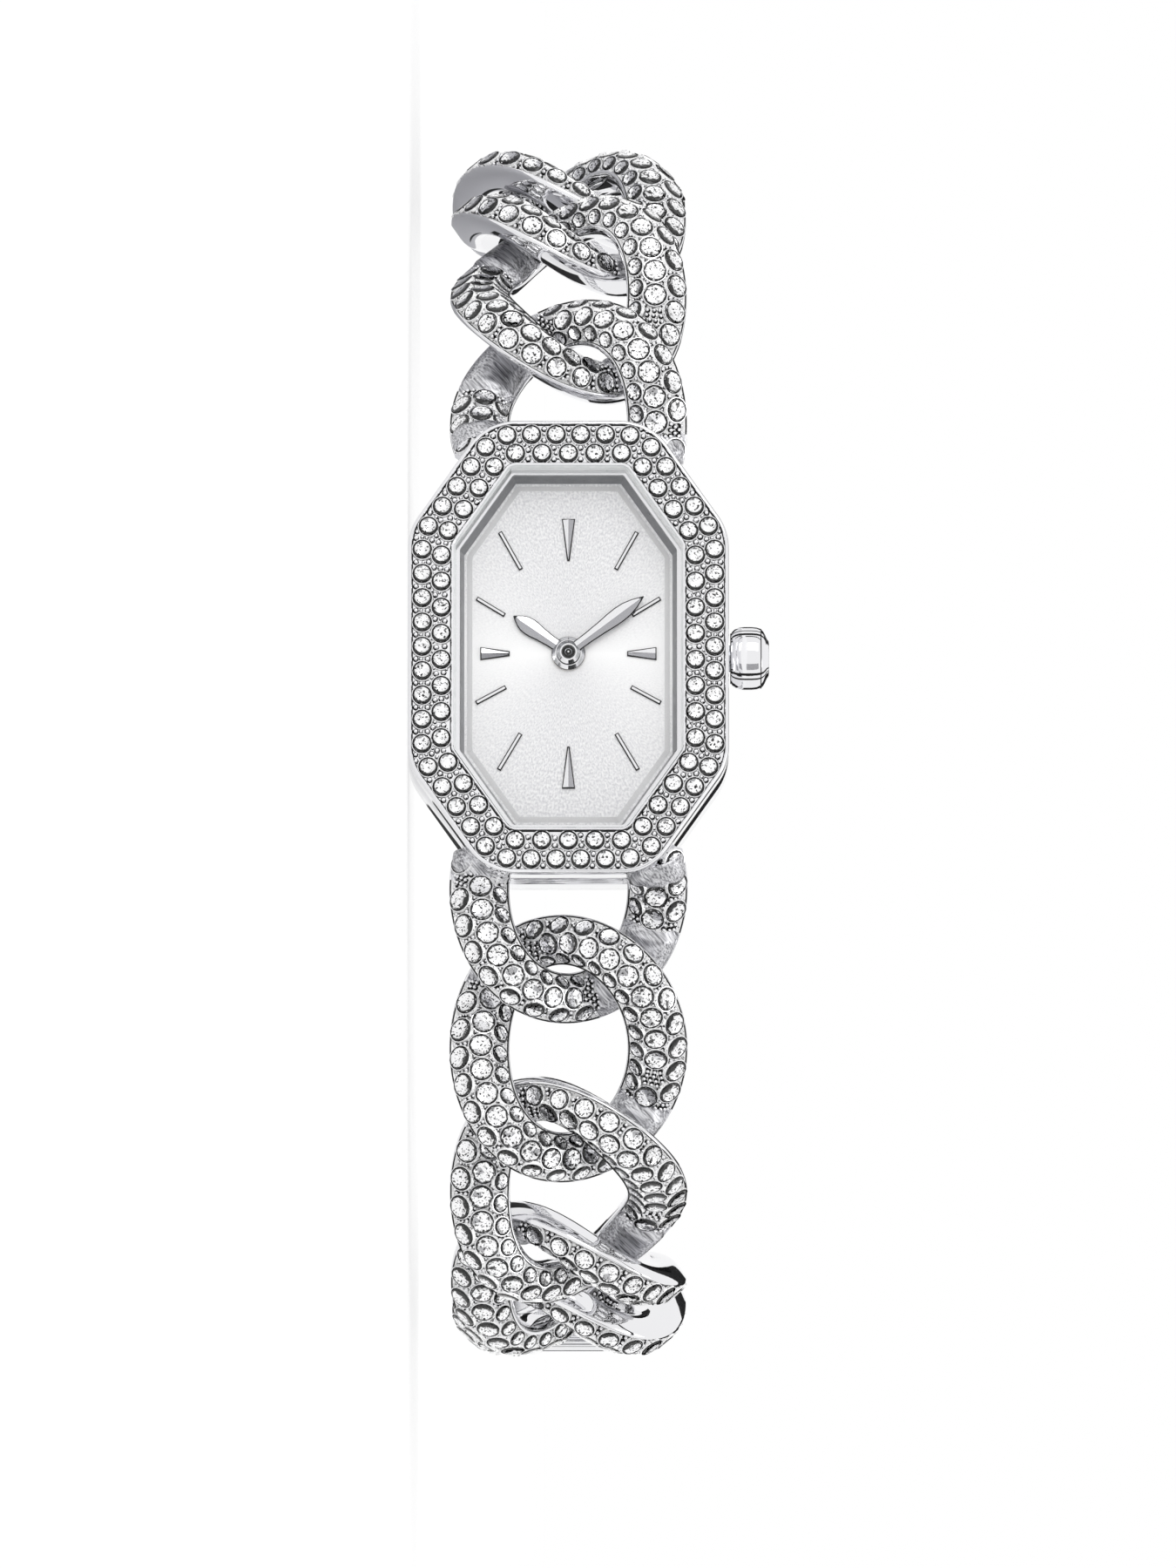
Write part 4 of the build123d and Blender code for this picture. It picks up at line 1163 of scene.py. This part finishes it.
def stamped(facets, stations, bottom, top, ridge, degrees, shaded_side):
    """A piece along +y: stations are (y, half width), the ridge is its extra height in the middle."""
    ys = np.array([y for y, _ in stations])
    halves = np.array([half for _, half in stations])
    inner = np.maximum(halves - BEVEL_WIDTH, 0.0)
    inset = ys.copy()
    inset[0] += BEVEL_WIDTH
    inset[-1] -= BEVEL_WIDTH * (1 if halves[-1] > BEVEL_WIDTH else POINTED_END)
    rows = []
    for y, inside_y, half, inside in zip(ys, inset, halves, inner):
        edge = top - BEVEL_DROP
        crest = top + ridge * min(1.0, inside / FULL_RIDGE_HALF)
        left = [(-half, y, bottom), (-half, y, edge), (-inside, inside_y, top)]
        right = [(inside, inside_y, top), (half, y, edge), (half, y, bottom)]
        rows.append(left + [(0, inside_y, crest)] + right)
    facets.add(turned(np.array(rows).reshape(-1, 3), degrees), [], BRIGHT)
    width = len(rows[0])
    # Painted shade: walls, bevels and ends are near black; only the top facets are bright plate.
    finishes = [OUTLINE, OUTLINE, BRIGHT, BRIGHT, OUTLINE, OUTLINE]
    # One top facet takes the darker plate, painted shade.
    if shaded_side:
        finishes[2 if shaded_side < 0 else 3] = SHADED
    for k, finish in enumerate(finishes):
        first = np.arange(len(rows) - 1) * width + k
        facets.more([(i, i + 1, i + width + 1, i + width) for i in first.tolist()], finish)
    last = (len(rows) - 1) * width
    facets.more([tuple(range(width)), tuple(last + i for i in range(width))[::-1]], OUTLINE)
    facets.more([(1, 2, 3), (3, 4, 5), (last + 3, last + 2, last + 1), (last + 5, last + 4, last + 3)], OUTLINE)


def turned_ring(facets, profile, sides, finishes):
    """A lathe-turned piece round the dial's centre from (radius, height) pairs."""
    rings = [circle(radius, height, sides) for radius, height in profile]
    for inner, outer, finish in zip(rings, rings[1:], finishes):
        facets.add(np.concatenate([inner, outer]), flipped(strips(sides, 2)), finish, smooth=True)


print("finishes of markers and hands", [material.name for material in METAL_FINISHES])

# %% [markdown]
# There are four pairs of bars and four wedges. A bar is given by its bearing from 12 o'clock and the distances of
# its two ends, and a wedge also by its inner half width. The bars don't stand at even thirty degrees: on a long
# dial their bearings are drawn together a little, so that they keep an even distance from the border.

# %% Hour markers
FIELD_TOP = 4.74
MARKER_TOP = 4.88
BAR_HALF = 0.12
BARS = ((29.0, 5.5, 7.95), (58.5, 4.2, 6.05), (118.5, 4.0, 5.9), (149.5, 5.3, 7.7))
WEDGES = ((0.0, 5.3, 7.7, 0.07), (90.0, 3.3, 4.95, 0.14), (180.0, 5.3, 7.7, 0.07), (270.0, 3.3, 4.95, 0.14))
WEDGE_HALF = 0.37
WEDGE_RIDGE = 0.11
marker_facets = Facets()
for bearing, inner, outer in BARS:
    for degrees in (bearing, -bearing):
        stamped(marker_facets, [(inner, BAR_HALF), (outer, BAR_HALF)], FIELD_TOP, MARKER_TOP, 0.0, degrees, 0)
for bearing, inner, outer, inner_half in WEDGES:
    # One top facet of each wedge is painted shade.
    shaded_side = 1 if bearing < 180 else -1
    stations = [(inner, inner_half), (outer, WEDGE_HALF)]
    stamped(marker_facets, stations, FIELD_TOP, MARKER_TOP, WEDGE_RIDGE, bearing, shaded_side)
marker_mesh = marker_facets.mesh("applied_hour_markers", METAL_FINISHES)
place_piece("applied_hour_markers", marker_mesh, "case", WATCH_TO_ROOM, "rhodium", "hour_markers")
print("markers", 2 * len(BARS) + len(WEDGES))

# %% [markdown]
# The hands are leaves: they start narrow at the hub, swell to their widest two thirds of the way out, and end in a
# point. Each is folded along its middle, and one facet is painted in shade, a step darker than the other. The hub
# is a short turned pipe with a broad bevel, in which a dark crescent shows.

# %% Hands
LEAF = (
    (0.0, 0.66),
    (0.2, 0.70),
    (0.4, 0.82),
    (0.54, 0.96),
    (0.64, 1.0),
    (0.75, 0.93),
    (0.86, 0.64),
    (0.94, 0.32),
    (1.0, 0.05),
)
HANDS = (
    ("minute_hand", 53.0, 5.3, 0.46, 0.68, 0.37, 5.24, "minute_set"),
    ("hour_hand", 304.5, 3.75, 0.50, 0.94, 0.62, 4.93, "hour_set"),
)
HAND_THICKNESS = 0.06
HAND_RIDGE = 0.07
HUB_OVERLAP = 0.25
HUB_HEIGHT = 0.2
HUB_SIDES = 64
for name, degrees, length, half, hub, bore, height, body in HANDS:
    facets = Facets()
    root = hub - HUB_OVERLAP
    stations = [(root + (length - root) * t, half * share) for t, share in LEAF]
    # One top facet of each hand is painted shade.
    shaded_side = 1 if degrees < 180 else -1
    stamped(facets, stations, height, height + HAND_THICKNESS, HAND_RIDGE, degrees, shaded_side)
    top = height + HUB_HEIGHT
    profile = [
        (bore, top - 0.03),
        (bore + 0.03, top),
        (hub - 0.20, top),
        (hub - 0.02, top - 0.16),
        (hub, top - 0.17),
        (hub, height),
    ]
    # Painted shade: the edge of the bore and the hub's outer wall are near black.
    turned_ring(facets, profile, HUB_SIDES, [OUTLINE, BRIGHT, BRIGHT, OUTLINE, OUTLINE])
    mesh = facets.mesh(f"{name}_stamped", METAL_FINISHES)
    place_piece(f"{name}_stamped", mesh, body, WATCH_TO_ROOM, "rhodium", name)
    print(name, "at", degrees, "degrees, faces", len(mesh.polygons))

# %% [markdown]
# In the middle of the hub shows the end of the pinion that carries the minute hand: a countersunk hole with a
# bright pin in it, the pin's side, the hole's floor and the ring round it painted near black as painted shade. It
# is added in front of the CAD pinion and replaces nothing.

# %% Pinion end
END_TOP = 5.44
END_SIDES = 32
END_PROFILE = (
    (0.0, 0.03),
    (0.05, 0.025),
    (0.07, -0.02),
    (0.16, -0.02),
    (0.2, 0.01),
    (0.3, 0.012),
    (0.36, 0.0),
)
end_facets = Facets()
# Painted shade: the pin's side, the hole's floor and the outer ring are near black.
end_finishes = [BRIGHT, OUTLINE, OUTLINE, DARK_STEEL, OUTLINE, OUTLINE]
turned_ring(end_facets, [(radius, END_TOP + up) for radius, up in END_PROFILE], END_SIDES, end_finishes)
end_mesh = end_facets.mesh("pinion_end", METAL_FINISHES)
place_piece("pinion_end", end_mesh, "minute_set", WATCH_TO_ROOM, "carbon_steel")
print("pinion end", 2 * END_PROFILE[-1][0], "mm wide")

# %% [markdown]
# ## Crown
# The crown is a barrel with four wide polished panels, and between each two panels stands a rib with a fine
# groove along both its sides, for grip. It is turned and milled steel, so its shape is one cross-section that
# shrinks towards both ends. The section is a radius for each bearing round the crown's axis.

# %% The crown's cross-section
CROWN_RADIUS = 1.82
CROWN_SIDES = 240
CROWN_PANELS = 4
PANEL_SHARE = 0.985
CROWN_GROOVE_SHARE = 0.95
CROWN_GROOVES_AT = (38.2, 41.0)
angles = np.arange(CROWN_SIDES) * math.tau / CROWN_SIDES
pitch = 360.0 / CROWN_PANELS
off_panel = np.abs((np.degrees(angles) - pitch / 2) % pitch - pitch / 2)
groove_start, groove_end = CROWN_GROOVES_AT
in_groove = (off_panel > groove_start) & (off_panel < groove_end)
section = CROWN_RADIUS * np.where(off_panel < groove_start, PANEL_SHARE, 1.0)
section *= np.where(in_groove, CROWN_GROOVE_SHARE, 1.0)
print("crown radius", round(section.min(), 2), "to", round(section.max(), 2), "mm")

# %% [markdown]
# The profile gives the distance from the case and the share of the section's radius, from the foot to the end.
# The grooves and the two bands where the barrel's side meets its foot and its shoulder are painted shade, near
# black.
# One larger crystal is set in the end, in the same seat as the small ones.

# %% Crown
CROWN_AXIS_HEIGHT = 3.2
CROWN_START = 9.1
CROWN_PROFILE = (
    (0.0, 0.78),
    (0.05, 0.80),
    (0.12, 0.87),
    (0.28, 0.94),
    (0.5, 0.985),
    (0.8, 1.0),
    (1.2, 1.0),
    (1.5, 0.985),
    (1.70, 0.95),
    (1.76, 0.93),
    (1.86, 0.87),
    (1.95, 0.79),
    (2.02, 0.70),
    (2.08, 0.62),
    (2.16, 0.57),
    (2.18, 0.52),
)
CROWN_DARK_BANDS = (0, 8)
CROWN_STONE = 1.72
CROWN_STONE_X = 11.2
CROWN_STONE_DEPTH = 0.2
CROWN_CREASE = 30
rings = []
for along, share in CROWN_PROFILE:
    radius = section * share
    across, up = -radius * np.cos(angles), CROWN_AXIS_HEIGHT + radius * np.sin(angles)
    rings.append(np.stack([np.full(CROWN_SIDES, CROWN_START + along), across, up], -1))
crown_facets = Facets()
crown_facets.add(np.concatenate(rings), [tuple(range(CROWN_SIDES))], STEEL)
for i, face in enumerate(flipped(strips(CROWN_SIDES, len(rings)))):
    band, side = divmod(i, CROWN_SIDES)
    # Painted shade: the grooves and the bands at foot and shoulder are near black.
    dark = in_groove[side] or in_groove[(side + 1) % CROWN_SIDES] or band in CROWN_DARK_BANDS
    crown_facets.more([face], GROOVE if dark else STEEL, smooth=True)
end_turn = np.array([[0.0, 0.0, 1.0], [-1.0, 0.0, 0.0], [0.0, -1.0, 0.0]])
end_place = np.column_stack([end_turn, (CROWN_STONE_X, 0.0, CROWN_AXIS_HEIGHT)])
set_stone(crown_facets, end_place, CROWN_STONE, CROWN_STONE_DEPTH)
crown_mesh = crown_facets.mesh("crown_turned", STONE_FINISHES)
crease(crown_mesh, CROWN_CREASE)
place_piece("crown_turned", crown_mesh, "crown_set", WATCH_TO_ROOM, "polished_steel", "crown", "crown_crystal")
print("crown faces", len(crown_mesh.polygons))

# %% [markdown]
# ## The dial
# The dial is brass, silver plated and brushed in rays from its centre. Rays catch the light by their bearing; here
# that is a painted sheen, the colour painted white towards 3 and 9 o'clock and greyer towards 12 and 6. Silver
# plate is frosted, so the shader is only a third metal. Real rays are finer than a hair and are drawn wide enough
# to show. Their
# noise needs polar coordinates: the bearing times a number of rays one way, and the distance from the centre the
# other way. Only the flat field has rays, and the bevelled border is plain.

# %% Sunray silver
RAYS_PER_RADIAN = 75.0
RAY_LENGTH = 0.16 * MM
SILVER_SHARE = 0.35
dial_silver, tree, shader = new_material("sunray_silver")
set_surface(shader, Roughness=0.36)
place = add_node(tree, "ShaderNodeTexCoord")
parts = add_node(tree, "ShaderNodeSeparateXYZ", Vector=place.outputs["Object"])
on_dial = add_node(
    tree, "ShaderNodeVectorMath", {"operation": "MULTIPLY"}, i0=place.outputs["Object"], i1=(1.0, 0.0, 1.0)
)
radius = add_node(tree, "ShaderNodeVectorMath", {"operation": "LENGTH"}, i0=on_dial.outputs[0]).outputs["Value"]
bearing = add_node(
    tree, "ShaderNodeMath", {"operation": "ARCTAN2"}, i0=parts.outputs["Z"], i1=parts.outputs["X"]
).outputs[0]
around = add_node(tree, "ShaderNodeMath", {"operation": "MULTIPLY"}, i0=bearing, i1=RAYS_PER_RADIAN)
outward = add_node(tree, "ShaderNodeMath", {"operation": "DIVIDE"}, i0=radius, i1=RAY_LENGTH)
ray_place = add_node(tree, "ShaderNodeCombineXYZ", X=around.outputs[0], Y=outward.outputs[0])
noise = add_node(tree, "ShaderNodeTexNoise", Vector=ray_place.outputs[0], Scale=1.0, Detail=2.0)
speck = add_node(tree, "ShaderNodeMapRange", Value=noise.outputs["Fac"], i1=0.36, i2=0.64, i3=0.2, i4=1.0)
# Painted sheen: the colour turns greyer where the rays run towards 12 and 6 o'clock.
sheen_by_bearing = add_node(tree, "ShaderNodeMath", {"operation": "COSINE"}, i0=bearing)
sheen_by_bearing = add_node(tree, "ShaderNodeMath", {"operation": "ABSOLUTE"}, i0=sheen_by_bearing.outputs[0])
front = add_node(
    tree, "ShaderNodeVectorMath", {"operation": "DOT_PRODUCT"}, i0=place.outputs["Normal"], i1=(0.0, -1.0, 0.0)
)
field = add_node(tree, "ShaderNodeMapRange", Value=front.outputs["Value"], i1=0.9, i2=0.99).outputs["Result"]
share = sheen_by_bearing.outputs[0]
for factor in (speck.outputs["Result"], field):
    share = add_node(tree, "ShaderNodeMath", {"operation": "MULTIPLY"}, i0=share, i1=factor).outputs[0]
two_tone(tree, shader, share, "#FFFFFF", "#D6D6D9")
silver = add_node(tree, "ShaderNodeMath", {"operation": "MULTIPLY"}, i0=field, i1=SILVER_SHARE)
tree.links.new(silver.outputs[0], shader.inputs["Metallic"])
print("a ray is", round(5.0 / RAYS_PER_RADIAN, 3), "mm wide at 5 mm from the centre")

# %% [markdown]
# ## Glass
# The watch glass is flat mineral glass, coated against reflections, so it hardly shows. A refracting shader
# would darken the dial, because little light finds its way in and out again. A surface that is all but
# transparent doesn't. Faint smears of about two millimetres give what little it mirrors an uneven gloss.

# %% Mineral glass
SMEAR_SIZE = 2.0 * MM
watch_glass, tree, shader = new_material("flat_mineral_glass")
set_surface(shader, Base_Color=linear("#303333"), Alpha=0.02, IOR=1.52)
place = add_node(tree, "ShaderNodeTexCoord")
smears = add_node(tree, "ShaderNodeTexNoise", Vector=place.outputs["Object"], Scale=1 / SMEAR_SIZE, Detail=2.0)
gloss = add_node(tree, "ShaderNodeMapRange", Value=smears.outputs["Fac"], i3=0.0, i4=0.03)
tree.links.new(gloss.outputs["Result"], shader.inputs["Roughness"])
print("materials in all", len(bpy.data.materials))

# %% [markdown]
# ## The rest of the watch
# The dial, the glass, the case back, the hidden movement and the clasp are right as the CAD model has them, so
# they only get their finishes. A finish goes into every material slot that the CAD piece has.

# %% Finishes of the CAD pieces
finish_of = {
    "case_back": case_back_steel,
    "case_back_gasket": nitrile,
    "glass": watch_glass,
    "glass_gasket": clear_nylon,
    "flange_ring": flange_lacquer,
    "dial": dial_silver,
    "cannon_pinion": hard_steel,
    "minute_wheel": gilt_brass,
    "hour_wheel": gilt_brass,
    "main_plate": gilt_brass,
    "train_bridge": nickel,
    "circuit_board": circuit_laminate,
    "battery": nickel,
    "battery_clamp": hard_steel,
    "coil": copper,
    "movement_holder": acetal,
    "crown_tube": hard_steel,
    "stem": hard_steel,
    "sliding_pinion": hard_steel,
    "clasp_box": steel,
    "clasp_tongue": steel,
    "latch_pin": hard_steel,
    "safety_latch": steel,
}
slots = [(slot, finish) for node, finish in finish_of.items() for slot in frame["nodes"][node].material_slots]
for slot, finish in slots:
    slot.material = finish
print("finished CAD pieces", len(finish_of), "slots", len(slots))
